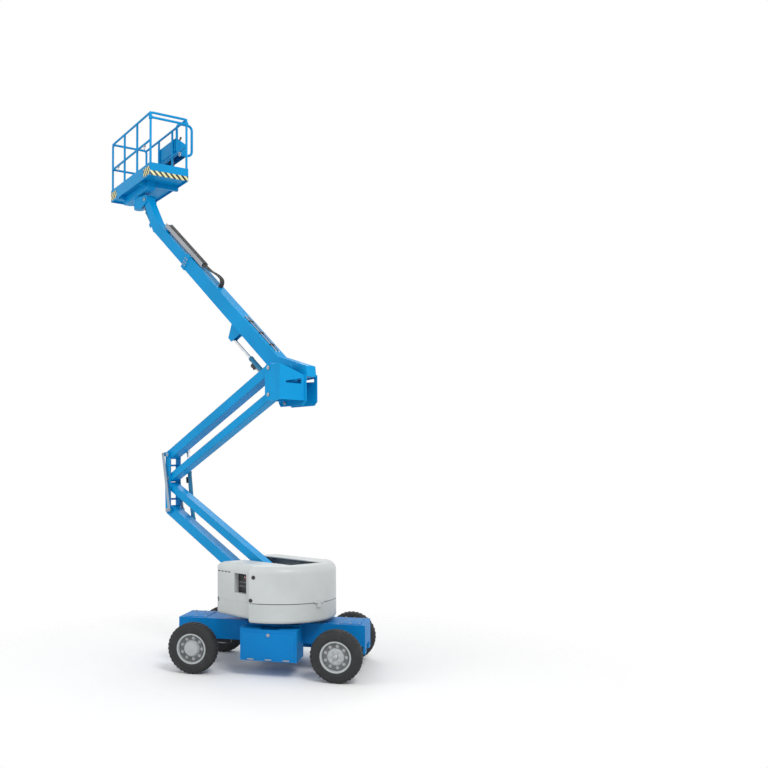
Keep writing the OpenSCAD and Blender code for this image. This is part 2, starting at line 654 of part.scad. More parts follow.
module rail_x(x0, x1, y, z) translate([x0, y, z]) rotate([0, 90, 0]) cylinder(r = rail_r, h = x1 - x0, $fn = 12);
module rail_y(x, y0, y1, z) translate([x, y0, z]) rotate([-90, 0, 0]) cylinder(r = rail_r, h = y1 - y0, $fn = 12);
module rail_z(x, y, z0, z1) translate([x, y, z0]) cylinder(r = rail_r, h = z1 - z0, $fn = 12);

module platform_floor() color("dodgerblue") on_platform() {
    difference() {
        box(plat_x0, plat_x1, -plat_l / 2, plat_l / 2, -deck_d, toe_h);
        box(plat_x0 + toe_t, plat_x1 - toe_t, -plat_l / 2 + toe_t, plat_l / 2 - toe_t, 0, toe_h + 1);
        box(plat_x0 + toe_t, plat_x1 - toe_t, -plat_l / 2 + toe_t, plat_l / 2 - toe_t, -deck_d - 1, -skin_t);
    }
    difference() {
        box(-spine_w / 2, spine_w / 2, -spine_l / 2, spine_l / 2, spine_z, -skin_t + 1);
        box(-spine_w / 2 + beam_t, spine_w / 2 - beam_t, -spine_l / 2 + beam_t, spine_l / 2 - beam_t,
            spine_z + beam_t, -skin_t + 2);
    }
    for (y = [-480, 480]) translate([0, y, 0])
        tube(plat_x0 + toe_t - 1, plat_x1 - toe_t + 1, 60, -100, -skin_t + 1, beam_t);
    translate([0, 0, spine_z - flange_t]) cylinder(r = 110, h = flange_t + 1);
}

// A hoop over one end of the platform: two posts and a top tube with round corners.
module hoop(y) {
    for (x = [post_x0, post_x1]) rail_z(x, y, 0, rail_z - hoop_r);
    rail_x(post_x0 + hoop_r, post_x1 - hoop_r, y, rail_z);
    for (x = [post_x0 + hoop_r, post_x1 - hoop_r]) translate([x, y, rail_z - hoop_r]) rotate([90, x < 0 ? -90 : 0, 0])
        rotate_extrude(angle = 90, $fn = 24) translate([hoop_r, 0]) circle(rail_r, $fn = 12);
}

module platform_rails() color("dodgerblue") on_platform() {
    for (y = [-post_y, post_y]) hoop(y);
    for (x = [post_x0, post_x1]) for (y = [-post_y / 3, post_y / 3]) rail_z(x, y, 0, rail_z);
    for (x = [post_x0, post_x1]) for (z = [mid_rail_z, rail_z]) rail_y(x, -post_y, post_y, z);
    rail_x(post_x0, post_x1, post_y, mid_rail_z);
}

// The entry bar slides on the two posts of the near hoop.
module platform_gate() color("deepskyblue") on_platform() difference() {
    union() {
        rail_x(post_x0 + rail_r + 2, post_x1 - rail_r - 2, -post_y, bar_z);
        for (x = [post_x0, post_x1]) translate([x, -post_y, bar_z - sleeve_h / 2]) cylinder(r = sleeve_r, h = sleeve_h);
    }
    for (x = [post_x0, post_x1]) translate([x, -post_y, 0]) cylinder(r = rail_r + run_gap, h = rail_h);
}

// Section of the console, drawn in by in and open below when drawn in.
module console_section(in) polygon([[console_x + in, console_z[0] + 60], [console_x + in, console_z[1] - 20 - in],
    [console_x + 30, console_z[1] - 1.4 * in], [console_x + console_d - in, console_z[1] - 90 - 1.4 * in],
    [console_x + console_d - in, console_z[0] - in], [console_x + 60 + in, console_z[0] - in]]);

// The console is a folded sheet box that is open below for its hoses.
module control_box() color("royalblue") on_platform() translate([0, console_y, 0]) rotate([90, 0, 0]) difference() {
    linear_extrude(2 * console_y) console_section(0);
    translate([0, 0, console_t]) linear_extrude(2 * console_y - 2 * console_t) console_section(console_t);
}

// The guard over the console: one tube bent into a closed loop.
module control_guard() color("deepskyblue") on_platform() translate([console_x + guard_r, guard_y, guard_top - guard_r]) rotate([90, 0, 0]) {
    w = guard_w - 2 * guard_bend;
    h = guard_h - 2 * guard_bend;
    for (i = [0, 1]) for (j = [0, 1]) translate([guard_bend + i * w, -guard_bend - j * h, 0])
        rotate([0, 0, i == 1 ? (j == 1 ? -90 : 0) : (j == 1 ? 180 : 90)]) rotate_extrude(angle = 90, $fn = 24)
        translate([guard_bend, 0]) circle(guard_r, $fn = 12);
    for (x = [0, guard_w]) translate([x, -guard_bend, 0]) rotate([90, 0, 0]) cylinder(r = guard_r, h = h, $fn = 12);
    for (y = [0, -guard_h]) translate([guard_bend, y, 0]) rotate([0, 90, 0]) cylinder(r = guard_r, h = w, $fn = 12);
}

frame();
battery_boxes();
drive_axle();
steer_axle();
slew_ring();
knuckle_left();
knuckle_right();
tyre_drive_left();
tyre_drive_right();
tyre_steer_left();
tyre_steer_right();
rim_drive_left();
rim_drive_right();
rim_steer_left();
rim_steer_right();
turntable();
counterweight();
cover_left();
cover_right();
hood();
ground_controls();
lower_arm();
lower_link();
middle_pivot();
timing_link();
upper_arm();
upper_link();
upper_pivot();
riser_barrel();
riser_rod();
boom_outer();
lift_barrel();
lift_rod();
boom_inner();
gooseneck();
cable_tray();
level_barrel();
level_rod();
rotator_bracket();
platform_floor();
platform_rails();
platform_gate();
control_box();
control_guard();
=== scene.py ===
# %% [markdown]
# # Dressing an articulating boom lift
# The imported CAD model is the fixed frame: nothing in it is moved or reshaped. This lesson gives it paint,
# rubber and steel, adds the small parts that CAD leaves out, and sets up the studio and the camera of the
# photograph. Every new part is drawn in the frame's own metres and rides on one body, so that the machine
# can be posed afterwards.

# %% Load the frame
import json
import math
import bmesh
import bpy
from mathutils import Matrix, Vector


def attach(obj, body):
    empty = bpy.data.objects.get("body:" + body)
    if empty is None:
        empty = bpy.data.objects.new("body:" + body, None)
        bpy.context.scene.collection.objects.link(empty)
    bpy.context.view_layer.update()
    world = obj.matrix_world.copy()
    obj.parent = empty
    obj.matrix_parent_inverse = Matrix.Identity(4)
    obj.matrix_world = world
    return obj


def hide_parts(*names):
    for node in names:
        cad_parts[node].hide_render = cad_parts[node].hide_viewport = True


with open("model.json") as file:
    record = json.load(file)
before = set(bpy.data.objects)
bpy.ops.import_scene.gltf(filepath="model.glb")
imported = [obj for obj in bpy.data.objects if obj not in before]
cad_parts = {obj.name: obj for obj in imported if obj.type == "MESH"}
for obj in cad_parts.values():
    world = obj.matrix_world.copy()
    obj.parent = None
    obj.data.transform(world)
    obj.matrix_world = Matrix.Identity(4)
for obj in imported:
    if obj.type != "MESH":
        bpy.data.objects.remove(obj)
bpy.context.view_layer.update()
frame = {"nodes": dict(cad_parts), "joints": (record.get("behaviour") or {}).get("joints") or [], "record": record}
joint = {j["name"]: j for j in frame["joints"]}

# %% [markdown]
# Everything above the slew ring is turned against the chassis. The places could be measured again, but
# the joints already hold them: the riser's hinge axis gives the turn, and the joints stand at the pins.
# Each assembly gets a matrix of its own. `turned` is the turntable. `boom_at` is the boom: its X runs up
# the boom, its Y points to the near side and its Z stands square on it. `platform_at` is the platform, X
# inboard.

# %% Places read from the joints
UP = Vector((0.0, 0.0, 1.0))
PLATFORM_TURN = math.radians(80)


def pin(name):
    return Vector(joint[name]["pos_m"])


def shift(x, y, z):
    return Matrix.Translation((x, y, z))


def axes(origin, x, y, z):
    turn = Matrix((x, y, z)).transposed().to_4x4()
    return Matrix.Translation(origin) @ turn


cross = Vector(joint["riser_lift"]["axis"])
near = -cross
slew = math.atan2(-cross.x, cross.y)
turned = Matrix.Rotation(slew, 4, "Z")
boom_along = Vector(joint["boom_extend"]["axis"])
boom_at = axes(pin("boom_lift"), boom_along, near, boom_along.cross(near))
platform_at = Matrix.Translation(pin("platform_turn")) @ Matrix.Rotation(slew + PLATFORM_TURN, 4, "Z")
print("slew", round(math.degrees(slew), 1), "boom", [round(v, 3) for v in boom_along])

# %% [markdown]
# Shader maths reads best as plain sums. Nodes could be added and linked one by one, but then the formula
# is lost among the links. One small class wraps a socket, so that a sum or a product makes its own Math
# node, also when the number comes first. One method, `make`, makes every other node.

# %% A socket that can be added and multiplied
class Sock:
    def __init__(self, tree, out):
        self.tree = tree
        self.out = out

    def make(self, kind, inputs, out=0, **settings):
        node = self.tree.nodes.new(kind)
        for key, value in settings.items():
            setattr(node, key, value)
        for key, value in inputs.items():
            if isinstance(value, Sock):
                self.tree.links.new(value.out, node.inputs[key])
            else:
                node.inputs[key].default_value = value
        return Sock(self.tree, node.outputs[out])

    def maths(self, operation, first, second=0.0):
        return self.make("ShaderNodeMath", {0: first, 1: second}, operation=operation)

    def __add__(self, other):
        return self.maths("ADD", self, other)

    def __sub__(self, other):
        return self.maths("SUBTRACT", self, other)

    def __mul__(self, other):
        return self.maths("MULTIPLY", self, other)

    def __radd__(self, other):
        return self.maths("ADD", other, self)

    def __rsub__(self, other):
        return self.maths("SUBTRACT", other, self)

    def __rmul__(self, other):
        return self.maths("MULTIPLY", other, self)

    def __gt__(self, other):
        return self.maths("GREATER_THAN", self, other)

    def noise(self, scale, detail=3.0):
        return self.make("ShaderNodeTexNoise", {"Vector": self, "Scale": scale, "Detail": detail})

    def along(self, direction):
        both = {0: self, 1: direction}
        return self.make("ShaderNodeVectorMath", both, out="Value", operation="DOT_PRODUCT")

    def ramp(self, low, high):
        return self.make("ShaderNodeMapRange", {"Value": self, "From Min": low, "From Max": high})

    def blend(self, first, second):
        first, second = (c if isinstance(c, Sock) else (*c, 1.0) for c in (first, second))
        return self.make("ShaderNodeMix", {0: self, 6: first, 7: second}, out=2, data_type="RGBA")

    def bump(self, strength, distance):
        return self.make("ShaderNodeBump", {"Height": self, "Strength": strength, "Distance": distance})


# %% [markdown]
# Each material starts from the object's own coordinates, so its pattern rides along when the machine
# moves. World coordinates would let the pattern swim over a moving arm. The helper gives back the
# material, the coordinates and a function that feeds a socket of the shader.

# %% A blank material
def material(name, **constants):
    made = bpy.data.materials.new(name)
    made.use_nodes = True
    tree = made.node_tree
    shader = tree.nodes["Principled BSDF"]
    for key, value in constants.items():
        shader.inputs[key.replace("_", " ")].default_value = value
    coords = tree.nodes.new("ShaderNodeTexCoord")

    def feed(socket, value):
        tree.links.new(value.out, shader.inputs[socket])

    return made, Sock(tree, coords.outputs["Object"]), feed


# %% [markdown]
# Sprayed paint is not one flat colour: it drifts a little over a panel, turns darker and duller in fine patches
# that grow stronger towards the bottom, and has a fine orange peel. A photograph could be wrapped round each
# panel, but noise has no seams and suits every panel. The darkening fades out with the height above the ground.

# %% Sprayed paint
DRIFT, GRIME, ORANGE_PEEL = 1.3, 11.0, 260.0
DARKER_BELOW = (0.15, 1.10)
DARK_FACTOR = 0.88
LOW_LIFT = 0.008


def paint(name, colour, rough, coat, peel=0.12):
    made, at, feed = material(name, Coat_Roughness=0.2, Coat_Weight=coat, Specular_IOR_Level=0.14)
    fine = at.noise(GRIME, 6.0)
    # Towards the bottom the colour turns darker and the gloss duller.
    low_down = (1 - at.along(UP).ramp(*DARKER_BELOW)) * 0.5
    dark = tuple(c * DARK_FACTOR for c in colour)
    darker_low = tuple(c + LOW_LIFT for c in dark)
    body = at.noise(DRIFT).ramp(0.35, 0.65).blend(dark, colour)
    feed("Base Color", (fine.ramp(0.5, 0.8) * (low_down + 0.22)).blend(body, darker_low))
    feed("Roughness", fine * 0.2 + low_down * 0.15 + (rough - 0.1))
    feed("Normal", at.noise(ORANGE_PEEL, 2.0).bump(peel, 0.0006))
    return made


# %% [markdown]
# Bare steel and chrome are streaked by the tool that cut them, and rubber and plastic grey where dust has
# settled. Both could be one plain colour, but then every edge would look moulded from the same stuff. One
# noise moves the colour and the gloss together, because a worn place is both paler and duller.

# %% Metal, rubber and plastic
def metal(name, colour, rough, grain):
    made, at, feed = material(name, Metallic=1.0)
    streak = at.noise(grain, 4.0)
    feed("Base Color", streak.ramp(0.3, 0.7).blend(tuple(c * 0.8 for c in colour), colour))
    feed("Roughness", streak * 0.2 + (rough - 0.1))
    feed("Normal", streak.bump(0.1, 0.0004))
    return made


def rubber(name, colour, rough):
    made, at, feed = material(name)
    dust = at.noise(7.0, 6.0)
    feed("Base Color", dust.ramp(0.5, 0.85).blend(colour, tuple(c + 0.03 for c in colour)))
    feed("Roughness", dust * 0.2 + (rough - 0.1))
    feed("Normal", at.noise(180.0, 3.0).bump(0.25, 0.001))
    return made


# %% [markdown]
# The machine has two blues, a lighter one on the booms and a darker one on the chassis, and pale grey
# covers. The darker chassis blue is partly its own paint and partly painted shade, since the chassis stands in the
# shade of the turntable. The colours are linear values, as the shader takes them. They could be set on each piece
# by hand, but one table keeps the machine in step: each finish has the name of the slot that it fills in the
# record.

# %% The finishes of the machine
finish = {
    "blue": paint("blue_paint", (0.001, 0.315, 0.690), rough=0.42, coat=0.0, peel=0.05),
    # The darker chassis blue is partly painted shade of the turntable above it.
    "blue_dark": paint("blue_chassis_paint_and_shade", (0.001, 0.200, 0.540), rough=0.44, coat=0.0, peel=0.05),
    "axle_grey": paint("axle_paint", (0.040, 0.043, 0.047), rough=0.55, coat=0.1),
    "steel": metal("machined_steel", (0.45, 0.46, 0.48), rough=0.40, grain=60.0),
    "weight_grey": paint("counterweight_paint", (0.55, 0.58, 0.58), rough=0.42, coat=0.15),
    "cover_grey": paint("cover_gelcoat", (0.59, 0.62, 0.62), rough=0.38, coat=0.25, peel=0.05),
    "black_plastic": rubber("black_plastic", (0.020, 0.020, 0.022), rough=0.5),
    "link_grey": paint("link_paint", (0.36, 0.44, 0.52), rough=0.4, coat=0.2),
    "cylinder_paint": paint("cylinder_paint", (0.030, 0.230, 0.400), rough=0.4, coat=0.2),
    "rod_chrome": metal("rod_chrome", (0.78, 0.79, 0.81), rough=0.16, grain=30.0),
    "tray_grey": paint("tray_paint", (0.40, 0.42, 0.44), rough=0.45, coat=0.1),
    "tyre": rubber("tyre_rubber", (0.017, 0.018, 0.019), rough=0.78),
    "rim": paint("rim_paint", (0.43, 0.46, 0.47), rough=0.38, coat=0.2),
}
print("materials:", len(finish))

# %% [markdown]
# Hazard tape has slanted bands that run on round the corner of the platform. They could be cut as strips,
# but a formula keeps them even: the places along the two toe boards and the height are added up, and the
# fraction of that sum says black or pale yellow. A little wear greys the yellow.

# %% Hazard tape
BANDS_PER_METRE = 9.0


def hazard_tape():
    made, at, feed = material("hazard_tape")
    slant = platform_at.to_3x3() @ Vector((1.0, 1.0, 1.0))
    band = at.maths("FRACT", at.along(slant) * BANDS_PER_METRE) > 0.5
    worn = at.noise(30.0, 5.0).ramp(0.4, 0.75) * 0.25
    pale = worn.blend((0.80, 0.76, 0.36), (0.55, 0.56, 0.50))
    feed("Base Color", band.blend((0.012, 0.013, 0.013), pale))
    feed("Roughness", worn + 0.35)
    return made


finish["hazard"] = hazard_tape()
print("tape bands are", round(1 / BANDS_PER_METRE, 3), "m apart along each axis")

# %% [markdown]
# Deck plate has rows of raised lozenges that keep a boot from slipping. Modelled one by one they would be
# thousands of faces that nobody sees from the ground. Two crossing waves give the same pattern: where
# both are high, a bump stands up, and boots have polished it.

# %% Deck plate
LOZENGE_WAVE = 160.0


def deck_plate():
    made, at, feed = material("deck_plate", Metallic=1.0)
    inboard, sideways = (platform_at.to_3x3().col[i] * LOZENGE_WAVE for i in (0, 1))
    first = at.maths("SINE", at.along(inboard + sideways))
    second = at.maths("SINE", at.along(inboard - sideways))
    raised = (first * second).ramp(0.55, 0.8)
    scuffed = at.noise(26.0, 8.0)
    feed("Base Color", scuffed.ramp(0.35, 0.7).blend((0.30, 0.31, 0.33), (0.46, 0.47, 0.49)))
    feed("Roughness", scuffed * 0.25 - raised * 0.1 + 0.38)
    feed("Normal", raised.bump(0.8, 0.002))
    return made


finish["floor_grey"] = deck_plate()
print("lozenges every", round(math.tau / LOZENGE_WAVE, 3), "m")

# %% [markdown]
# The stop buttons are red plastic that has faded unevenly, and the discs of the wheels are a darker grey
# than their rims. The record has no slot for these or for the tape, so they are added to the table under
# names of their own.

# %% Red plastic and the last finishes
def red_plastic():
    made, at, feed = material("red_plastic")
    faded = at.noise(40.0, 4.0)
    feed("Base Color", faded.ramp(0.3, 0.8).blend((0.50, 0.012, 0.010), (0.58, 0.04, 0.03)))
    feed("Roughness", faded * 0.15 + 0.28)
    return made


finish["red"] = red_plastic()
# The dish grey is partly painted shade of the recess between hub and rim.
finish["dish"] = paint("wheel_dish_paint_and_recess_shade", (0.16, 0.17, 0.175), rough=0.5, coat=0.1)
print("materials in all:", len(finish))

# %% [markdown]
# The record says which slot each CAD node belongs to. CAD meshes come as loose triangles with edges as
# sharp as a razor, which no welded or moulded part has. They could be remodelled, but modifiers leave
# them as they are: a Weld joins the triangles, a narrow bevel catches the light, and weighted normals
# keep faces flat.

# %% Dress the CAD nodes
WELD_GAP = 0.00005
EDGE_WIDTH = 0.002
EDGE_ANGLE = math.radians(32)
for part in frame["record"]["subparts"]:
    node = frame["nodes"][part["node"]]
    node.data.materials.clear()
    node.data.materials.append(finish[part["material_slot"]])
    for face in node.data.polygons:
        face.material_index = 0
        face.use_smooth = True
    weld = node.modifiers.new("weld", "WELD")
    weld.merge_threshold = WELD_GAP
    edge = node.modifiers.new("edge", "BEVEL")
    edge.width = EDGE_WIDTH
    edge.segments = 2
    edge.limit_method = "ANGLE"
    edge.angle_limit = EDGE_ANGLE
    edge.use_clamp_overlap = False
    flat = node.modifiers.new("flat", "WEIGHTED_NORMAL")
    flat.weight = 100

# %% [markdown]
# The workbench starts with `piece`, which turns a finished shape into an object that rides on one body of
# the machine. An object could be placed by its own location and turn. Here a shape is laid in place by a
# matrix before it becomes an object, so that the object stays at the origin and its pattern never slides.

# %% Turn a finished shape into a piece
SMOOTH_BELOW = 35.0


def piece(name, shape, slot, body, sharp=SMOOTH_BELOW):
    bmesh.ops.recalc_face_normals(shape, faces=shape.faces)
    mesh = bpy.data.meshes.new(name)
    shape.to_mesh(mesh)
    shape.free()
    mesh.materials.append(finish[slot])
    mesh.polygons.foreach_set("use_smooth", [True] * len(mesh.polygons))
    mesh.set_sharp_from_angle(angle=math.radians(sharp))
    made = bpy.data.objects.new(name, mesh)
    bpy.context.collection.objects.link(made)
    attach(made, body)
    print(f"{name}: {len(mesh.polygons)} faces, rides on {body}")
    return made


# %% [markdown]
# Most small parts are sawn blocks and cut bars. Both start from a shape that bmesh makes, and a narrow
# bevel breaks their edges, as a file does. A Bevel modifier could do it too, but one width then has to
# suit the whole piece, and a bolt needs a finer one than a box.

# %% Helpers for blocks and bars
SOFT_ANGLE = 0.6


def looking(place, along):
    turn = UP.rotation_difference(Vector(along)).to_matrix().to_4x4()
    return Matrix.Translation(place) @ turn


def break_edges(shape, edges, width):
    bmesh.ops.bevel(shape, geom=edges, offset=width, segments=2, profile=0.5, affect="EDGES", material=-1)


def soften(shape, verts, width):
    inside = set(verts)
    closed = [e for e in shape.edges if inside.issuperset(e.verts) and e.is_manifold]
    break_edges(shape, [e for e in closed if e.calc_face_angle(0.0) > SOFT_ANGLE], width)


def block(shape, place, size, width=0.003):
    made = bmesh.ops.create_cube(shape, size=1.0)["verts"]
    bmesh.ops.scale(shape, verts=made, vec=size)
    bmesh.ops.transform(shape, verts=made, matrix=place)
    soften(shape, made, width)


def rod(shape, place, radius, length, sides=24, width=0.002, tip=None):
    made = bmesh.ops.create_cone(shape, cap_ends=True, segments=sides, radius1=radius,
                                 radius2=radius if tip is None else tip, depth=length)["verts"]
    bmesh.ops.translate(shape, verts=made, vec=(0.0, 0.0, length / 2))
    bmesh.ops.transform(shape, verts=made, matrix=place)
    inside = set(made)
    ends = [f for f in shape.faces if len(f.verts) == sides and inside.issuperset(f.verts)]
    break_edges(shape, list({e for f in ends for e in f.edges}), width)


# %% [markdown]
# Caps, tyres and buttons are turned parts. A stack of cylinders would leave seams, so their outline is
# drawn once, as radius and height, and spun about the axis as on a lathe. A bolt is a washer with a six-
# sided head. `around` gives the places of a bolt circle.

# %% Helpers for turned parts and bolts
MERGE_GAP = 0.00002


def turned_shape(shape, place, outline, steps=32):
    before = set(shape.verts)
    ring = [shape.verts.new((r, 0.0, z)) for r, z in outline]
    lines = [shape.edges.new(pair) for pair in zip(ring, ring[1:])]
    bmesh.ops.spin(shape, geom=ring + lines, cent=(0, 0, 0), axis=(0, 0, 1), angle=math.tau, steps=steps,
                   use_merge=True)
    made = [v for v in shape.verts if v not in before]
    bmesh.ops.remove_doubles(shape, verts=made, dist=MERGE_GAP)
    made = [v for v in shape.verts if v not in before]
    bmesh.ops.transform(shape, verts=made, matrix=place)


def both_halves(outline):
    return outline + [(r, -z) for r, z in reversed(outline)]


def bolt(shape, place, across):
    washer = across * 0.16
    rod(shape, place, across * 0.85, washer, sides=16, width=across * 0.03)
    rod(shape, place @ shift(0.0, 0.0, washer), across * 0.58, across * 0.55, sides=6, width=across * 0.08)


def around(place, count, radius, height, start=0.0):
    for i in range(count):
        turn = Matrix.Rotation(math.tau * (i + start) / count, 4, "Z")
        yield place @ turn @ shift(radius, 0.0, height)


# %% [markdown]
# Pipes and hoses follow a few points that are rounded into a smooth line. A curve object with a bevel
# could do this. Here a circle is drawn out along the line ring by ring, each ring turned by the bend
# alone, so that the tube never twists and is a closed mesh from the start.

# %% Helpers for pipes
def smooth_path(points, steps=8):
    points = [Vector(p) for p in points]
    ends = [points[0] * 2 - points[1]] + points + [points[-1] * 2 - points[-2]]
    line = []
    for a, b, c, d in zip(ends, ends[1:], ends[2:], ends[3:]):
        for i in range(steps):
            t = i / steps
            bend = (2 * a - 5 * b + 4 * c - d) * t * t + (3 * b - a - 3 * c + d) * t ** 3
            line.append(0.5 * (2 * b + (c - a) * t + bend))
    return line + [points[-1]]


def pipe(shape, line, radius, sides=10):
    heading = (line[1] - line[0]).normalized()
    ring = bmesh.ops.create_circle(shape, cap_ends=True, segments=sides, radius=radius)["verts"]
    bmesh.ops.transform(shape, verts=ring, matrix=looking(line[0], heading))
    edges = list({e for v in ring for e in v.link_edges})
    for i in range(1, len(line)):
        after = (line[min(i + 1, len(line) - 1)] - line[i - 1]).normalized()
        grown = bmesh.ops.extrude_edge_only(shape, edges=edges)["geom"]
        ring = [g for g in grown if isinstance(g, bmesh.types.BMVert)]
        edges = [g for g in grown if isinstance(g, bmesh.types.BMEdge)]
        turn = heading.rotation_difference(after).to_matrix().to_4x4()
        step = Matrix.Translation(line[i]) @ turn @ Matrix.Translation(-line[i - 1])
        bmesh.ops.transform(shape, verts=ring, matrix=step)
        heading = after
    bmesh.ops.contextual_create(shape, geom=edges)


# %% [markdown]
# A free hose is a pipe whose true length along the line is printed. The length could be typed, but a sum
# over the line stays true when a point moves. Both ends go back into the machine.

# %% Helper for a free hose
def hose(name, points, diameter, body):
    line = smooth_path(points)
    shape = bmesh.new()
    pipe(shape, line, diameter / 2, sides=12)
    made = piece(name, shape, "black_plastic", body)
    length = sum((b - a).length for a, b in zip(line, line[1:]))
    print(name, round(length, 3), "m")


# %% [markdown]
# Tyres: the outline of half a section is mirrored and spun about the axle. A tread could be a bump, but
# its blocks break the outline, so they are real: every other face of the shoulder and centre bands,
# staggered like bricks, is inset and pushed straight out from the axle. A mould makes them the same way,
# out of the carcass.

# %% Tyres with tread blocks
TYRE_HALF = [(0.205, 0.084), (0.214, 0.104), (0.232, 0.112), (0.246, 0.1115), (0.250, 0.1145),
             (0.258, 0.1145), (0.262, 0.112), (0.284, 0.113), (0.300, 0.1105), (0.312, 0.105),
             (0.327, 0.096), (0.340, 0.084), (0.346, 0.072), (0.3475, 0.040), (0.348, 0.004)]
TREAD_STEPS = 72
TREAD_DEPTH = 0.0065
TREAD_DRAFT = 0.0012
SHOULDER, CENTRE, GROOVE = 0.325, 0.3465, 0.005


def in_tread(face):
    middle = face.calc_center_median()
    radius = math.hypot(middle.x, middle.y)
    step = int((math.atan2(middle.y, middle.x) / math.tau + 1.0) * TREAD_STEPS)
    side = 0 if middle.z > 0 else 1
    banded = SHOULDER < radius < CENTRE or (radius > CENTRE and abs(middle.z) > GROOVE)
    return banded and (step + side) % 2 == 0


def tyre_shape(place):
    shape = bmesh.new()
    turned_shape(shape, Matrix.Identity(4), both_halves(TYRE_HALF), TREAD_STEPS)
    blocks = [f for f in shape.faces if in_tread(f)]
    bmesh.ops.inset_individual(shape, faces=blocks, thickness=TREAD_DRAFT)
    pushed = bmesh.ops.extrude_face_region(shape, geom=blocks)["geom"]
    bmesh.ops.delete(shape, geom=blocks, context="FACES_ONLY")
    for vert in (g for g in pushed if isinstance(g, bmesh.types.BMVert)):
        vert.co += Vector((vert.co.x, vert.co.y, 0.0)).normalized() * TREAD_DEPTH
    bmesh.ops.transform(shape, verts=shape.verts, matrix=place)
    return shape


BOTH_WAYS = (1.0, -1.0)
SIDES = tuple(zip(("left", "right"), BOTH_WAYS))
wheel_at = {}
for end in ("drive", "steer"):
    for side, out in SIDES:
        wheel = f"{end}_{side}"
        wheel_at[wheel] = looking(pin(f"spin_{wheel}"), (0.0, out, 0.0))
        tyre = piece(f"tyre_tread_{wheel}", tyre_shape(wheel_at[wheel]), "tyre", f"wheel_{wheel}", 40.0)
        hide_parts(f"tyre_{wheel}")

# %% [markdown]
# Nine nuts on their studs hold each rim to its hub. They could be drawn on one wheel and copied. Here
# they are drawn in the wheel's own axes, with Z out along the axle, so that one function serves all four
# wheels and each wheel's matrix puts its ring in place.

# %% Wheel nuts
NUTS = 9
NUT_CIRCLE = 0.146
NUT_ACROSS = 0.027
STUD = {"radius": 0.007, "length": 0.030, "sides": 10, "width": 0.001}
RIM_FACE = 0.062


def wheel_nuts(place):
    shape = bmesh.new()
    for spot in around(place, NUTS, NUT_CIRCLE, RIM_FACE):
        bolt(shape, spot, NUT_ACROSS)
        rod(shape, spot, **STUD)
    return shape


print("nuts on each wheel:", NUTS)

# %% [markdown]
# The pressed disc inside the rim is a thin darker ring, turned like the tyre; its grey is partly the plate's own
# and partly painted shade of the recess between hub and rim. The steered wheels have flat round dark discs between
# the nuts, painted shade that stands for the hand holes in the disc. The disc could be a colour on the rim, but a
# ring of its own has a crisp edge.

# %% Wheel discs
DISC = [(0.098, 0.0632), (0.184, 0.0632), (0.186, 0.0615)]
HOLE_SHADE_CIRCLE = 0.158
HOLE_SHADE_DISC = {"radius": 0.019, "length": 0.0028, "sides": 20, "width": 0.0006}


def wheel_disc(place, driven):
    shape = bmesh.new()
    turned_shape(shape, place, DISC, 44)
    # On the steered wheels, dark discs of painted shade stand for the hand holes.
    if not driven:
        for spot in around(place, NUTS, HOLE_SHADE_CIRCLE, RIM_FACE, 0.5):
            rod(shape, spot, **HOLE_SHADE_DISC)
    return shape


print("disc across:", 2 * DISC[-1][0], "m")

# %% [markdown]
# The driven wheels carry the flat cap of the hub gear, held by a ring of small screws. The steered ones
# have a domed bearing cap with six bolts. Both caps come off a lathe, so they are turned from their
# outlines.

# %% Hub caps
GEAR_CAP = [(0.0, 0.1135), (0.020, 0.1135), (0.022, 0.1125), (0.082, 0.1125), (0.088, 0.1115),
            (0.090, 0.109)]
GEAR_SCREWS = {"count": 8, "radius": 0.074, "height": 0.111}
GEAR_SCREW = {"radius": 0.006, "length": 0.0035, "sides": 6, "width": 0.0008}
BEARING_CAP = [(0.0, 0.112), (0.016, 0.111), (0.030, 0.106), (0.036, 0.098), (0.038, 0.086), (0.044, 0.085),
               (0.046, 0.083)]
BEARING_BOLTS = {"count": 6, "radius": 0.070, "height": 0.083}
BEARING_BOLT = 0.017


def hub_cap(place, driven):
    shape = bmesh.new()
    if driven:
        turned_shape(shape, place, GEAR_CAP, 40)
        for spot in around(place, **GEAR_SCREWS):
            rod(shape, spot, **GEAR_SCREW)
    else:
        turned_shape(shape, place, BEARING_CAP, 32)
        for spot in around(place, **BEARING_BOLTS):
            bolt(shape, spot, BEARING_BOLT)
    return shape


print("caps stand out by", GEAR_CAP[0][1], "and", BEARING_CAP[0][1], "m")

# %% [markdown]
# A valve is a thin stem that leans outwards, with a cap screwed on its end: two short bars are enough at
# this size. With it, the four wheels have all their small parts and are dressed in one loop.

# %% Valves, and all four wheels
VALVE_LEAN = (0.0, 0.3, 1.0)
STEM_FOOT, CAP_FOOT = (0.0, 0.178, RIM_FACE), (0.0, 0.1865, 0.090)
VALVE_STEM = {"radius": 0.004, "length": 0.035, "sides": 10, "width": 0.0008}
VALVE_CAP = {"radius": 0.0055, "length": 0.012, "sides": 8, "width": 0.001}


def valve(place):
    shape = bmesh.new()
    rod(shape, place @ looking(STEM_FOOT, VALVE_LEAN), **VALVE_STEM)
    rod(shape, place @ looking(CAP_FOOT, VALVE_LEAN), **VALVE_CAP)
    return shape


for wheel, place in wheel_at.items():
    body = f"wheel_{wheel}"
    driven = wheel.startswith("drive")
    piece(f"wheel_nuts_{wheel}", wheel_nuts(place), "steel", body)
    piece(f"wheel_dish_{wheel}", wheel_disc(place, driven), "dish", body)
    piece(f"hub_cap_{wheel}", hub_cap(place, driven), "rim" if driven else "steel", body)
    piece(f"valve_{wheel}", valve(place), "black_plastic", body)

# %% [markdown]
# Every pivot pin ends in a turned cap that a bolt pulls against the plate. The caps could be set by eye,
# but the joints know where the pins are. Each is listed with its joint, the body that holds the pin, how
# far the pin's near and far ends stand from the middle, and the cap's radius. The outer pins of the two
# links have no joint of their own: a parallelogram gives their places.

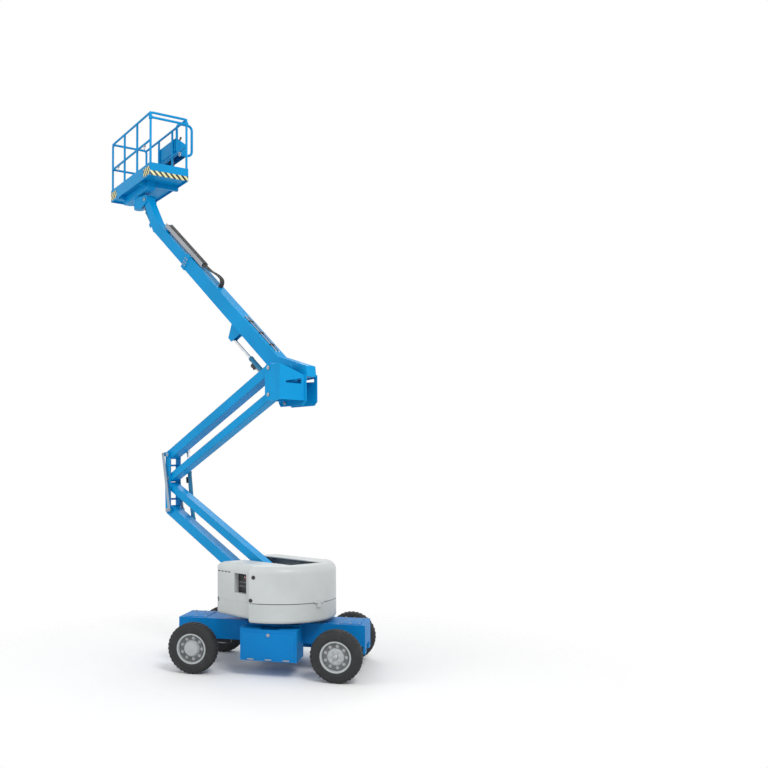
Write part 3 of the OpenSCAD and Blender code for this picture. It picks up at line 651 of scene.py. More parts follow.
# %% Caps on the pivot pins
CAP_HEIGHT = 0.008
CAP_SEAT, BOLT_SEAT = 0.001, 0.0002
CAP_BOLT = 0.016
RISER_ENDS, LINK_ENDS = (0.1305, None), (0.119, 0.111)
PINS = [("riser_middle", "lower_arm", RISER_ENDS, 0.030),
        ("riser_upper", "upper_arm", RISER_ENDS, 0.030),
        ("riser_up_link", "middle_pivot", LINK_ENDS, 0.028),
        ("riser_top", "upper_pivot", LINK_ENDS, 0.030),
        ("boom_lift", "upper_pivot", (0.135, 0.143), 0.040),
        ("lift_swing", "upper_pivot", (0.123, None), 0.030),
        ("platform_level", "rotator_bracket", (0.103, 0.103), 0.030),
        ("low_link", "middle_pivot", LINK_ENDS, 0.028),
        ("up_link", "upper_pivot", LINK_ENDS, 0.028)]
link_pins = {"low_link": pin("riser_middle") + pin("riser_low_link") - pin("riser_lift"),
             "up_link": pin("riser_top") + pin("riser_up_link") - pin("riser_upper")}


def pin_cap(shape, place, radius):
    outline = [(0.0, CAP_HEIGHT), (radius - 0.004, CAP_HEIGHT), (radius, CAP_HEIGHT - 0.003), (radius, 0.0)]
    turned_shape(shape, place, outline, 28)
    bolt(shape, place @ shift(0.0, 0.0, CAP_HEIGHT - BOLT_SEAT), CAP_BOLT)


for name, body, ends, radius in PINS:
    centre = link_pins[name] if name in link_pins else pin(name)
    caps = bmesh.new()
    for out, reach in zip((near, cross), ends):
        if reach is not None:
            pin_cap(caps, looking(centre + out * (reach - CAP_SEAT), out), radius)
    piece(f"pin_cap_{name}", caps, "steel", body)

# %% [markdown]
# The timing bar has a twin on the near side of the middle pivot. It hangs on two short levers, one welded
# to each arm, and lies outside the pins so that nothing is in its way. Bar and levers are plates with two
# round eyes. Their outline could be worked out point by point; instead four circles are hulled into one
# plate.

# %% An eye plate
FLAT_ANGLE = 0.02
PLATE_EDGE = 0.0015


def verts_of(geometry):
    return [g for g in geometry if isinstance(g, bmesh.types.BMVert)]


def eye_plate(shape, place, ends, radii, thick):
    for (x, z), radius in zip(ends, radii):
        disc = bmesh.ops.create_circle(shape, cap_ends=False, segments=32, radius=radius)["verts"]
        bmesh.ops.translate(shape, verts=disc, vec=(x, z, 0.0))
    top = bmesh.ops.duplicate(shape, geom=shape.verts[:])["geom"]
    bmesh.ops.translate(shape, verts=verts_of(top), vec=(0.0, 0.0, thick))
    inner = bmesh.ops.convex_hull(shape, input=shape.verts[:])["geom_interior"]
    bmesh.ops.delete(shape, geom=verts_of(inner), context="VERTS")
    bmesh.ops.dissolve_limit(shape, angle_limit=FLAT_ANGLE, verts=shape.verts[:], edges=shape.edges[:])
    bmesh.ops.transform(shape, verts=shape.verts, matrix=place)
    soften(shape, shape.verts[:], PLATE_EDGE)


# %% [markdown]
# The bar joins the ends of the levers, and each lever carries a stud with a bolt that the bar turns on.
# `riser_at` stands at a pin of the riser, with X ahead, Y up and Z out to the near side, so all of them
# are drawn flat and laid against the arms.

# %% Near timing bar and its levers
LEVER_LOW, LEVER_UP = (0.0897, 0.0078), (-0.0897, 0.0078)
BAR_OUT, LEVER_OUT = 0.146, 0.1195
PLATE = 0.012
BAR_EYES, LEVER_EYES = (0.028, 0.028), (0.044, 0.030)
STUD_RADIUS, STUD_LENGTH = 0.014, 0.044
ahead = turned.to_3x3() @ Vector((1.0, 0.0, 0.0))
pivot_height = (pin("riser_upper") - pin("riser_middle")).z


def riser_at(joint_name, out):
    return axes(pin(joint_name) + near * out, ahead, UP, near)


bar = bmesh.new()
bar_ends = [LEVER_LOW, (LEVER_UP[0], LEVER_UP[1] + pivot_height)]
eye_plate(bar, riser_at("riser_middle", BAR_OUT), bar_ends, BAR_EYES, PLATE)
piece("near_timing_bar", bar, "link_grey", "timing_link")
for name, body, end in (("riser_middle", "lower_arm", LEVER_LOW), ("riser_upper", "upper_arm", LEVER_UP)):
    lever_at = riser_at(name, LEVER_OUT)
    lever = bmesh.new()
    eye_plate(lever, lever_at, [(0.0, 0.0), end], LEVER_EYES, PLATE)
    piece(f"near_lever_{body}", lever, "blue", body)
    stud = bmesh.new()
    rod(stud, lever_at @ shift(*end, 0.0), STUD_RADIUS, STUD_LENGTH, sides=20)
    bolt(stud, lever_at @ shift(*end, STUD_LENGTH - CAP_SEAT), CAP_BOLT)
    piece(f"near_lever_pin_{body}", stud, "steel", body)

# %% [markdown]
# The upper pivot is a closed weldment. A bent plate runs from the near riser plate back to the boom's
# plate, with a wedge-shaped window for the hoses. A box cut by another box could stand for it, but a
# press brake bends one sheet: so an upright edge is drawn out from bend to bend, four cuts mark the
# window, its face is taken out, and the sheet then gets its thickness.

# %% The bent sheet of the upper pivot
boom_offset = (pin("boom_lift") - pin("riser_top")).dot(near)
BENDS = [(0.196, 0.1125), (0.254, 0.1125), (0.388, boom_offset + 0.1165), (0.428, boom_offset + 0.1165)]
SHEET_TOP = (0.040, 0.040, -0.115, -0.125)
SHEET_FOOT = (-0.470, -0.470, -0.485, -0.485)
SHEET_THICK = 0.006
sheet = bmesh.new()
start_x, start_out = BENDS[0]
upright = [sheet.verts.new((start_x, height, start_out)) for height in (SHEET_FOOT[0], SHEET_TOP[0])]
edges = [sheet.edges.new(upright)]
for (x, out), foot, top in zip(BENDS[1:], SHEET_FOOT[1:], SHEET_TOP[1:]):
    grown = bmesh.ops.extrude_edge_only(sheet, edges=edges)["geom"]
    edges = [g for g in grown if isinstance(g, bmesh.types.BMEdge)]
    low, high = sorted(verts_of(grown), key=lambda v: v.co.y)
    low.co = (x, foot, out)
    high.co = (x, top, out)
print("sheet faces:", len(sheet.faces), "boom plane", round(boom_offset, 3), "m out")

# %% [markdown]
# The window is the one face inside the four cuts. A boolean could cut it, but the cuts keep the sheet one
# flat mesh with clean edges. The two corners at its narrow end are drawn together before the face goes,
# which gives the wedge.

# %% The window, and the finished cover
WINDOW_X, WINDOW_Y = (0.284, 0.372), (-0.245, -0.165)
WEDGE_POINT = sum(WINDOW_Y) / 2 - 0.02
WEDGE_PINCH = 0.65
SLACK = 1e-4


def within(value, limits):
    return limits[0] - SLACK < value < limits[1] + SLACK


for normal, cuts in ((Vector((1.0, 0.0, 0.0)), WINDOW_X), (Vector((0.0, 1.0, 0.0)), WINDOW_Y)):
    for cut in cuts:
        everything = sheet.verts[:] + sheet.edges[:] + sheet.faces[:]
        bmesh.ops.bisect_plane(sheet, geom=everything, dist=1e-6, plane_co=normal * cut, plane_no=normal)
inside = {v for v in sheet.verts if within(v.co.x, WINDOW_X) and within(v.co.y, WINDOW_Y)}
window = [f for f in sheet.faces if inside.issuperset(f.verts)]
for corner in window[0].verts:
    if corner.co.x < WINDOW_X[0] + SLACK:
        corner.co.y += WEDGE_PINCH * (WEDGE_POINT - corner.co.y)
bmesh.ops.delete(sheet, geom=window, context="FACES_ONLY")
bmesh.ops.recalc_face_normals(sheet, faces=sheet.faces)
bmesh.ops.solidify(sheet, geom=sheet.faces[:], thickness=SHEET_THICK)
bmesh.ops.transform(sheet, verts=sheet.verts, matrix=riser_at("riser_top", 0.0))
piece("upper_pivot_cover", sheet, "blue", "upper_pivot")

# %% [markdown]
# Each battery box is a folded steel box with two lids on top and a door on the outside. They could be
# lines in the paint, but real lids stand a few millimetres proud and catch the light along their edges,
# so they are thin blocks.

# %% Doors and lids of the battery boxes
BOX_ENDS = (-0.325, 0.475)
BOX_SIDE, BOX_TOP = 0.800, 0.660
DOOR, DOOR_HEIGHT = (0.740, 0.006, 0.360), 0.435
LID_OUT, LID_WIDE, LID_THICK, LID_LIP = 0.664, 0.284, 0.010, 0.006
box_middle = sum(BOX_ENDS) / 2
LID_GAP = (-0.100, 0.140)
LIDS = ((BOX_ENDS[0] - LID_LIP, box_middle + LID_GAP[0]), (box_middle + LID_GAP[1], BOX_ENDS[1] + LID_LIP))


def battery_doors(out):
    shape = bmesh.new()
    block(shape, shift(box_middle, out * (BOX_SIDE + DOOR[1] / 2), DOOR_HEIGHT), DOOR, 0.0025)
    for back, front in LIDS:
        lid_at = shift((back + front) / 2, out * LID_OUT, BOX_TOP + LID_THICK / 2)
        block(shape, lid_at, (front - back, LID_WIDE, LID_THICK))
    return shape


print("lids:", [round(front - back, 3) for back, front in LIDS], "m long")

# %% [markdown]
# The door swings on three rolled hinge knuckles along its lower edge and is held by a turning latch. A
# knuckle is a short bar, because its roll is hidden. The latch is a turned rose with a bar across it.

# %% Hinges and latches of the battery boxes
HINGE_STEP, HINGE_HEIGHT = 0.25, 0.252
KNUCKLE_LONG, KNUCKLE_RADIUS = 0.090, 0.009
LATCH_HEIGHT = 0.585
LATCH_ROSE = [(0.0, 0.006), (0.020, 0.006), (0.024, 0.003), (0.025, 0.0)]
LATCH_BAR, LATCH_BAR_OUT = (0.050, 0.012, 0.014), 0.012


def battery_fittings(out):
    shape = bmesh.new()
    for i in (-1, 0, 1):
        knuckle = shift(box_middle + HINGE_STEP * i, out * (BOX_SIDE + KNUCKLE_RADIUS), HINGE_HEIGHT)
        start = looking((-KNUCKLE_LONG / 2, 0.0, 0.0), (1.0, 0.0, 0.0))
        rod(shape, knuckle @ start, KNUCKLE_RADIUS, KNUCKLE_LONG, sides=14, width=0.0015)
    latch = looking((box_middle, out * (BOX_SIDE + DOOR[1]), LATCH_HEIGHT), (0.0, out, 0.0))
    turned_shape(shape, latch, LATCH_ROSE, 24)
    block(shape, latch @ shift(0.0, 0.0, LATCH_BAR_OUT), LATCH_BAR)
    return shape


for side, out in SIDES:
    piece(f"battery_doors_{side}", battery_doors(out), "blue_dark", "chassis")
    piece(f"battery_fittings_{side}", battery_fittings(out), "steel", "chassis")

# %% [markdown]
# Bolted cover plates close the frame over its two ends, so that the steering and the drive can be
# reached. Each is a thin plate with six bolts near its rim, drawn as a block and placed by its middle and
# its length.

# %% Cover plates of the frame
COVER_PLATES = ((-1.150, 0.340), (1.130, 0.300))
PLATE_WIDE, PLATE_THICK, PLATE_HEIGHT = 0.520, 0.006, 0.703
BOLT_INSET, BOLT_OUT, BOLT_SINK = 0.025, 0.235, 0.0005
bolt_height = PLATE_HEIGHT + PLATE_THICK / 2 - BOLT_SINK
FRAME_BOLT = 0.018
plates = bmesh.new()
screws = bmesh.new()
for x, long in COVER_PLATES:
    block(plates, shift(x, 0.0, PLATE_HEIGHT), (long, PLATE_WIDE, PLATE_THICK), 0.002)
    for i in (-1, 0, 1):
        for j in (-1, 1):
            spot = shift(x + i * (long / 2 - BOLT_INSET), j * BOLT_OUT, bolt_height)
            bolt(screws, spot, FRAME_BOLT)
piece("frame_cover_plates", plates, "blue_dark", "chassis")
piece("frame_cover_bolts", screws, "steel", "chassis")

# %% [markdown]
# A bowl in the middle of the driven axle holds its gears, with a bolted joint round it and the motor in
# front. A squashed sphere would come near it, but the joint's flange is what the eye knows it by, so the
# outline with the flange is turned. The rods of the steering cylinder show on both sides of the other
# axle.

# %% Drive bowl, motor and steering rods
BOWL_HALF = [(0.0, 0.120), (0.072, 0.116), (0.108, 0.084), (0.128, 0.034), (0.136, 0.030)]
MOTOR_AT = Vector((0.110, 0.0, 0.02))
MOTOR = {"radius": 0.078, "length": 0.230, "sides": 32, "width": 0.006}
BOWL_BOLTS = {"count": 12, "radius": 0.130, "height": 0.0295}
SMALL_BOLT = 0.014
STEER_ROD = {"radius": 0.017, "length": 0.120, "sides": 20}
STEER_ROD_AHEAD, STEER_ROD_OUT = 0.140, 0.305
bowl = bmesh.new()
axle = looking((pin("spin_drive_left") + pin("spin_drive_right")) / 2, (0.0, 1.0, 0.0))
turned_shape(bowl, axle, both_halves(BOWL_HALF), 36)
rod(bowl, looking(axle.translation + MOTOR_AT, (1.0, 0.0, 0.0)), **MOTOR)
for spot in around(axle, **BOWL_BOLTS):
    bolt(bowl, spot, SMALL_BOLT)
piece("drive_bowl", bowl, "axle_grey", "chassis")
rods = bmesh.new()
king_pin = pin("steer_left")
for out in BOTH_WAYS:
    root = (king_pin.x + STEER_ROD_AHEAD, out * STEER_ROD_OUT, king_pin.z)
    rod(rods, looking(root, (0.0, out, 0.0)), **STEER_ROD)
piece("steering_rods", rods, "rod_chrome", "chassis")

# %% [markdown]
# The hood closes with round quarter-turn latches on both flanks. They are bought-in parts set into the
# moulding: a turned cup with a raised rim and a slot bar in its middle. The hood is round in plan, so its
# radius gives how far out each latch sits.

# %% Latches of the hood
HOOD_RADIUS = 0.885
LATCHES = ((0.410, 1.380), (0.372, 1.062))
LATCH_CUP = [(0.0, 0.005), (0.010, 0.005), (0.013, 0.008), (0.025, 0.008), (0.0275, 0.005), (0.0275, 0.0)]
LATCH_SEAT = 0.001
SLOT_BAR, SLOT_BAR_OUT = (0.020, 0.005, 0.005), 0.006
latches = bmesh.new()
for out in BOTH_WAYS:
    for x, z in LATCHES:
        y = out * math.sqrt(HOOD_RADIUS ** 2 - x ** 2)
        latch = turned @ looking((x, y, z), (x, y, 0.0)) @ shift(0.0, 0.0, -LATCH_SEAT)
        turned_shape(latches, latch, LATCH_CUP, 28)
        block(latches, latch @ shift(0.0, 0.0, SLOT_BAR_OUT), SLOT_BAR, 0.001)
piece("hood_latches", latches, "black_plastic", "hood")

# %% [markdown]
# The right cover has four air slots and a catch, the left one a louvre of tilted slats, and a bead runs
# along both at the height of the belt line. Slots could be cut through, but dark inlays look the same
# from outside and leave the cover's mesh whole: their black is painted shade of the inside of the cover.

# %% Air slots, louvre and bead of the covers
RIGHT_SKIN, LEFT_SKIN = -0.7605, 0.762
SLOT, SLOT_START, SLOT_STEP = (0.048, 0.004, 0.014), (-0.370, 1.408), 0.075
CATCH, CATCH_AT = (0.018, 0.006, 0.060), (-0.385, -0.7615, 1.000)
SLAT, SLAT_START, SLAT_STEP = (0.420, 0.004, 0.020), (-0.330, 1.150), 0.030
SLAT_TILT = Matrix.Rotation(0.5, 4, "X")
BEAD_SECTION = (0.004, 0.010)
BEADS = (((-0.050, -0.7608, 1.0175), 0.740), ((-0.245, 0.7608, 1.0175), 1.130))
# The black of the four slot inlays is painted shade; the catch and the slats are parts of their own.
slots = bmesh.new()
for i in range(4):
    block(slots, turned @ shift(SLOT_START[0] + SLOT_STEP * i, RIGHT_SKIN, SLOT_START[1]), SLOT, 0.0015)
block(slots, turned @ shift(*CATCH_AT), CATCH, 0.002)
for i in range(8):
    slat_at = shift(SLAT_START[0], LEFT_SKIN, SLAT_START[1] + SLAT_STEP * i)
    block(slots, turned @ slat_at @ SLAT_TILT, SLAT, 0.001)
piece("cover_slot_shade_catch_and_louvre", slots, "black_plastic", "turntable")
bead = bmesh.new()
for middle, long in BEADS:
    block(bead, turned @ shift(*middle), (long, *BEAD_SECTION), 0.0018)
piece("cover_belt_bead", bead, "cover_grey", "turntable")

# %% [markdown]
# Switches: a toggle is a turned collar with a tapered lever that leans to one side, and a stop button a
# mushroom on a stem. Both are used on the ground controls and on the platform, so each is a function that
# takes its place.

# %% Toggles and stop buttons
TOGGLE_COLLAR = [(0.0, 0.006), (0.006, 0.006), (0.009, 0.003), (0.010, 0.0)]
TOGGLE_LEVER = {"radius": 0.0032, "length": 0.020, "sides": 10, "width": 0.0008, "tip": 0.0045}
TOGGLE_LEAN, TOGGLE_ROOT = 0.35, 0.004
MUSHROOM = [(0.0, 0.036), (0.014, 0.035), (0.020, 0.030), (0.020, 0.025), (0.012, 0.020), (0.012, 0.0)]


def toggle(shape, place, lean=TOGGLE_LEAN):
    turned_shape(shape, place, TOGGLE_COLLAR, 16)
    rod(shape, place @ Matrix.Rotation(lean, 4, "X") @ shift(0.0, 0.0, TOGGLE_ROOT), **TOGGLE_LEVER)


def stop_button(name, place, body):
    button = bmesh.new()
    turned_shape(button, place, MUSHROOM, 28)
    piece(name, button, "red", body)


# %% [markdown]
# Ground controls: a black panel at the back of the cover's window has two rows of toggles, a key switch,
# a small display and the red stop button. The panel has its own matrix with Z out of the window, so its
# parts are laid out flat, as on a drawing.

# %% The ground control panel
PANEL, PANEL_FACE = (0.236, 0.250, 0.006), 0.006
TOGGLE_START, TOGGLE_STEP, TOGGLE_ROWS = -0.084, 0.042, (0.010, -0.045)
PANEL_AT = (0.100, -0.6800, 1.2675)
UPPER_ROW, DISPLAY_X, KEY_X, STOP_X = 0.085, -0.060, 0.020, 0.080
DISPLAY, DISPLAY_OUT = (0.080, 0.045, 0.010), 0.008
KEY_SWITCH = [(0.0, 0.012), (0.009, 0.012), (0.012, 0.009), (0.014, 0.0)]
panel_at = turned @ looking(PANEL_AT, (0.0, -1.0, 0.0))
panel = bmesh.new()
block(panel, panel_at @ shift(0.0, 0.0, PANEL_FACE / 2), PANEL, 0.002)
block(panel, panel_at @ shift(DISPLAY_X, UPPER_ROW, DISPLAY_OUT), DISPLAY, 0.002)
piece("ground_panel", panel, "black_plastic", "turntable")
switches = bmesh.new()
for row in TOGGLE_ROWS:
    for i in range(5):
        toggle(switches, panel_at @ shift(TOGGLE_START + TOGGLE_STEP * i, row, PANEL_FACE))
turned_shape(switches, panel_at @ shift(KEY_X, UPPER_ROW, PANEL_FACE), KEY_SWITCH, 20)
piece("ground_switches", switches, "steel", "turntable")
stop_button("ground_stop", panel_at @ shift(STOP_X, UPPER_ROW, PANEL_FACE), "turntable")

# %% [markdown]
# The collar at the boom's open end guides the inner section. Bolts on all four faces hold its wear pads,
# so they stand in rows: three on each side and two above and below, at two places along the boom.

# %% Collar bolts of the boom
COLLAR_ROWS = (3.430, 3.490)
COLLAR_SIDE, SIDE_BOLTS = 0.1065, (-0.190, -0.134, -0.078)
PAD_BOLT_OUT, PAD_FACES = 0.055, ((-0.0045, 1.0), (-0.2635, -1.0))
collar = bmesh.new()
for s in COLLAR_ROWS:
    for out in BOTH_WAYS:
        for z in SIDE_BOLTS:
            bolt(collar, boom_at @ looking((s, out * COLLAR_SIDE, z), (0.0, out, 0.0)), FRAME_BOLT)
        for z, up in PAD_FACES:
            bolt(collar, boom_at @ looking((s, out * PAD_BOLT_OUT, z), (0.0, 0.0, up)), FRAME_BOLT)
piece("collar_bolts", collar, "steel", "boom_outer")

# %% [markdown]
# Two steel oil lines run along the top of the boom, held by clamps, and dip into it at both ends. They
# are bent pipe, so each follows a short line of points; the clamps are plastic blocks with one bolt.

# %% Oil lines on the boom
LINE_ROUTE = ((0.62, -0.020), (0.66, -0.006), (0.78, -0.004), (1.45, -0.004), (1.57, -0.006),
              (1.61, -0.020))
LINE_RADIUS, LINES_ACROSS = 0.008, (-0.030, 0.030)
CLAMPS, CLAMP = (0.80, 1.12, 1.44), (0.030, 0.100, 0.022)
CLAMP_MIDDLE, CLAMP_TOP = -0.007, 0.0035
lines = bmesh.new()
for y in LINES_ACROSS:
    route = [boom_at @ Vector((s, y, z)) for s, z in LINE_ROUTE]
    pipe(lines, smooth_path(route, 4), LINE_RADIUS)
clamps = bmesh.new()
for s in CLAMPS:
    block(clamps, boom_at @ shift(s, 0.0, CLAMP_MIDDLE), CLAMP)
    bolt(clamps, boom_at @ shift(s, 0.0, CLAMP_TOP), SMALL_BOLT)
piece("boom_oil_lines", lines, "steel", "boom_outer")
piece("boom_line_clamps", clamps, "black_plastic", "boom_outer")

# %% [markdown]
# A cable track feeds the inner section as it slides. In the tray lies a row of plastic links, each a
# block, and where the track leaves the tray five hoses bend back down to the boom in one loop. The loop
# goes with the inner section: it is drawn at rest and doesn't roll.

# %% Cable track and hose loop
TRAY, TRAY_MARGIN = (3.070, 4.460), 0.03
LINKS, LINK, LINK_MIDDLE = 26, (0.044, 0.092, 0.050), 0.045
TRACK_HOSE = 0.018
HOSES_ACROSS = (-0.037, -0.0185, 0.0, 0.0185, 0.037)
HOSE_LOOP = ((3.085, 0.050), (2.97, 0.053), (2.85, 0.064), (2.74, 0.088), (2.64, 0.106), (2.547, 0.109),
             (2.5045, 0.0976), (2.4734, 0.0665), (2.462, 0.024), (2.462, -0.042))
links = bmesh.new()
for i in range(LINKS):
    s = TRAY[0] + TRAY_MARGIN + (TRAY[1] - TRAY[0] - 2 * TRAY_MARGIN) * (i + 0.5) / LINKS
    block(links, boom_at @ shift(s, 0.0, LINK_MIDDLE), LINK, 0.006)
piece("cable_track", links, "black_plastic", "boom_inner")
for i, y in enumerate(HOSES_ACROSS):
    loop = [boom_at @ Vector((s, y, z)) for s, z in HOSE_LOOP]
    hose(f"track_hose_{i}", loop, TRACK_HOSE, "boom_inner")

# %% [markdown]
# Each cylinder's barrel has a valve block with two plugs near its gland and a pipe that feeds the far
# end. The joint gives the direction of the stroke, and the valve sits on the side that faces down, where
# it is safe from falling things. One function dresses both cylinders from their length and radius.

# %% Valve blocks and pipes of the cylinders
CYLINDERS = (("lift", 1.180, 0.038), ("riser", 0.795, 0.034))
VALVE_BLOCK, VALVE_FROM_GLAND, VALVE_OFF = (0.100, 0.052, 0.050), 0.14, 0.022
PLUG, PLUG_OFF = {"radius": 0.012, "length": 0.018, "sides": 6}, 0.045
PLUGS_ALONG = (-0.03, 0.03)
FEED_RADIUS = 0.007


def dress_cylinder(name, place, length, radius):
    valve_x = length - VALVE_FROM_GLAND
    body = f"{name}_barrel"
    shape = bmesh.new()
    block(shape, place @ shift(valve_x, 0.0, radius + VALVE_OFF), VALVE_BLOCK, 0.004)
    for x in PLUGS_ALONG:
        rod(shape, place @ shift(valve_x + x, 0.0, radius + PLUG_OFF), **PLUG)
    piece(f"{name}_valve", shape, "black_plastic", body)
    route = ((0.110, -0.004), (0.115, 0.012), (0.150, 0.017), (length - 0.26, 0.017),
             (length - 0.19, 0.020))
    feed_pipe = bmesh.new()
    pipe(feed_pipe, smooth_path([place @ Vector((x, 0.0, radius + z)) for x, z in route], 4), FEED_RADIUS)
    piece(f"{name}_pipe", feed_pipe, "steel", body)


for name, length, radius in CYLINDERS:
    along = Vector(joint[f"{name}_stroke"]["axis"])
    down = along.cross(near)
    if down.z > 0:
        down.negate()
    dress_cylinder(name, axes(pin(f"{name}_swing"), along, down.cross(along), down), length, radius)

# %% [markdown]
# The platform's deck is a sheet of chequered plate, and its posts stand in short sockets. The sheet is a
# thin block that lies on the CAD floor and brings the pattern with it. The sockets are tubes, so their
# outline is turned, in a loop over the posts.

# %% Deck plate and post sockets
DECK_MIDDLE, DECK, DECK_LEVEL = 0.180, (0.744, 1.814, 0.004), 0.0022
POST_X, POST_Y = (-0.1735, 0.5335), (-0.8885, -0.2962, 0.2962, 0.8885)
POST_SOCKET = [(0.0215, 0.110), (0.0252, 0.110), (0.0258, 0.106), (0.0258, 0.0)]


def on_platform(x, y, z):
    return platform_at @ shift(x, y, z)


deck = bmesh.new()
block(deck, on_platform(DECK_MIDDLE, 0.0, DECK_LEVEL), DECK, 0.001)
piece("deck_plate", deck, "floor_grey", "platform")
sockets = bmesh.new()
for x in POST_X:
    for y in POST_Y:
        turned_shape(sockets, on_platform(x, y, DECK[2]), POST_SOCKET, 20)
piece("post_sockets", sockets, "blue", "platform")

# %% [markdown]
# Hazard tape marks the toe boards that people can walk into. It could be painted on the CAD node, but
# that node has one slot, so the tape is a thin skin of its own, on the end and at both outer corners.

# %% Hazard tape on the toe boards
TAPE_THICK, TAPE_EDGE = 0.0016, 0.0004
END_FACE, END_LEVEL, END_TAPE = -0.9158, 0.006, (DECK[0], TAPE_THICK, 0.084)
OUTER_FACE, OUTER_LEVEL, CORNER_TAPE = -0.2008, 0.060, (TAPE_THICK, 0.270, 0.150)
CORNERS = (-0.775, 0.775)
tape = bmesh.new()
block(tape, on_platform(DECK_MIDDLE, END_FACE, END_LEVEL), END_TAPE, TAPE_EDGE)
for y in CORNERS:
    block(tape, on_platform(OUTER_FACE, y, OUTER_LEVEL), CORNER_TAPE, TAPE_EDGE)
piece("hazard_tape", tape, "hazard", "platform")

# %% [markdown]
# Rings under the middle rails take the hook of a harness. Each is a bent bar, so a small circle is turned
# about the ring's axis, and a block clips it to the rail.

# %% Harness rings
RING_RADIUS, RING_WIRE = 0.030, 0.006
RING_PLACES, RING_LEVEL, CLIP_LEVEL = (-0.62, 0.62), 0.540, 0.571
CLIP, CLIP_INSET = (0.036, 0.060, 0.016), 0.004
FACING = Matrix.Rotation(math.pi / 2, 4, "Y")
wire_angles = [math.tau * i / 10 for i in range(11)]
WIRE = [(RING_RADIUS + RING_WIRE * math.cos(a), RING_WIRE * math.sin(a)) for a in wire_angles]
rings = bmesh.new()
for x, inward in zip(POST_X, BOTH_WAYS):
    for y in RING_PLACES:
        block(rings, on_platform(x + inward * CLIP_INSET, y, CLIP_LEVEL), CLIP)
        turned_shape(rings, on_platform(x + inward * CLIP_INSET, y, RING_LEVEL) @ FACING, WIRE, 24)
piece("harness_rings", rings, "steel", "platform")

# %% [markdown]
# The console's black panel lies on its sloping top and carries two joysticks in rubber boots. The slope
# gives the panel its own axes. The boots are bellows, so their outline zigzags before it is turned, and
# the grips are turned from a waisted outline.

# %% Console panel and joysticks
SLOPE_RUN, SLOPE_FALL = 0.200, 0.090
CONSOLE_TOP = Vector((0.685, 0.0, 0.905))
CONSOLE_PANEL, CONSOLE_FACE = (0.200, 0.690, 0.008), 0.008
STICK_X, STICK_Y = 0.010, (-0.210, 0.190)
BOOT = [(0.0, 0.050), (0.013, 0.050), (0.017, 0.044), (0.024, 0.040), (0.020, 0.034), (0.031, 0.028),
        (0.027, 0.022), (0.038, 0.016), (0.034, 0.010), (0.046, 0.006), (0.046, 0.0)]
GRIP = [(0.0, 0.150), (0.012, 0.148), (0.019, 0.138), (0.020, 0.124), (0.016, 0.100), (0.018, 0.080),
        (0.014, 0.062), (0.008, 0.058), (0.008, 0.040)]
off_panel = Vector((SLOPE_FALL, 0.0, SLOPE_RUN)).normalized()
down_slope = Vector((SLOPE_RUN, 0.0, -SLOPE_FALL)).normalized()
console_at = platform_at @ axes(CONSOLE_TOP, down_slope, off_panel.cross(down_slope), off_panel)
top = bmesh.new()
block(top, console_at @ shift(0.0, 0.0, CONSOLE_FACE / 2), CONSOLE_PANEL)
for y in STICK_Y:
    stick_at = console_at @ shift(STICK_X, y, CONSOLE_FACE)
    turned_shape(top, stick_at, BOOT, 28)
    turned_shape(top, stick_at, GRIP, 24)
piece("console_panel", top, "black_plastic", "platform")

# %% [markdown]
# Between the joysticks stand two rows of toggles, leaning away from each other, with the stop button at
# one end. They are the same parts as on the ground controls, so the functions made there serve again.

# %% Console switches
KEYS, KEY_START, KEY_STEP = 7, -0.120, 0.038
CONSOLE_STOP = (0.020, 0.295)
KEY_ROWS = ((-0.055, TOGGLE_LEAN), (0.045, -TOGGLE_LEAN))
keys = bmesh.new()
for i in range(KEYS):
    for x, lean in KEY_ROWS:
        toggle(keys, console_at @ shift(x, KEY_START + KEY_STEP * i, CONSOLE_FACE), lean)
piece("console_switches", keys, "steel", "platform")
stop_button("console_stop", console_at @ shift(*CONSOLE_STOP, CONSOLE_FACE), "platform")

# %% [markdown]
# The foot switch on the deck has to be held down before anything moves. Two cheeks and a roof guard its
# tilted pedal against a dropped tool. It is folded sheet, so softened blocks are close enough.

# %% Foot switch
PEDAL_Y = 0.060
PEDAL_TILT = Matrix.Rotation(-0.22, 4, "Y")
BASE_AT, BASE = (0.390, PEDAL_Y, 0.020), (0.170, 0.230, 0.032)
TREADLE_AT, TREADLE = (0.380, PEDAL_Y, 0.052), (0.130, 0.100, 0.014)
CHEEK_OFFSET, CHEEK_LEVEL, CHEEK = 0.105, 0.060, (0.170, 0.012, 0.080)
ROOF_AT, ROOF = (0.400, PEDAL_Y, 0.103), (0.150, 0.222, 0.010)
FOLD = 0.004
pedal = bmesh.new()
block(pedal, on_platform(*BASE_AT), BASE, 0.006)
block(pedal, on_platform(*TREADLE_AT) @ PEDAL_TILT, TREADLE, FOLD)
for out in BOTH_WAYS:
    block(pedal, on_platform(BASE_AT[0], PEDAL_Y + out * CHEEK_OFFSET, CHEEK_LEVEL), CHEEK, FOLD)
block(pedal, on_platform(*ROOF_AT), ROOF, FOLD)
piece("foot_switch", pedal, "axle_grey", "platform")

# %% [markdown]
# Control hoses hang from the open underside of the console and go in through the toe board. A simulated
# cord could find its own sag, but seven given points are enough for so short a hose. Every other
# one has a little more slack, so that they don't hang like a comb.

# %% Hoses of the console
CONSOLE_HOSE = 0.018
HOSE_Y = (-0.150, -0.100, -0.050, 0.010)
HANG = ((0.632, 0.0, 0.640, 0), (0.634, 0.0, 0.560, 0), (0.646, 0.0, 0.430, 0), (0.648, -0.010, 0.310, 1),
        (0.634, -0.020, 0.205, 1), (0.605, -0.024, 0.145, 1), (0.563, -0.026, 0.120, 1))
SLACK_LENGTH = 0.030
for i, y in enumerate(HOSE_Y):
    slack = SLACK_LENGTH * (i % 2)
    hang = [platform_at @ Vector((x, y + aside, z - slack * low)) for x, aside, z, low in HANG]
    hose(f"console_hose_{i}", hang, CONSOLE_HOSE, "platform")

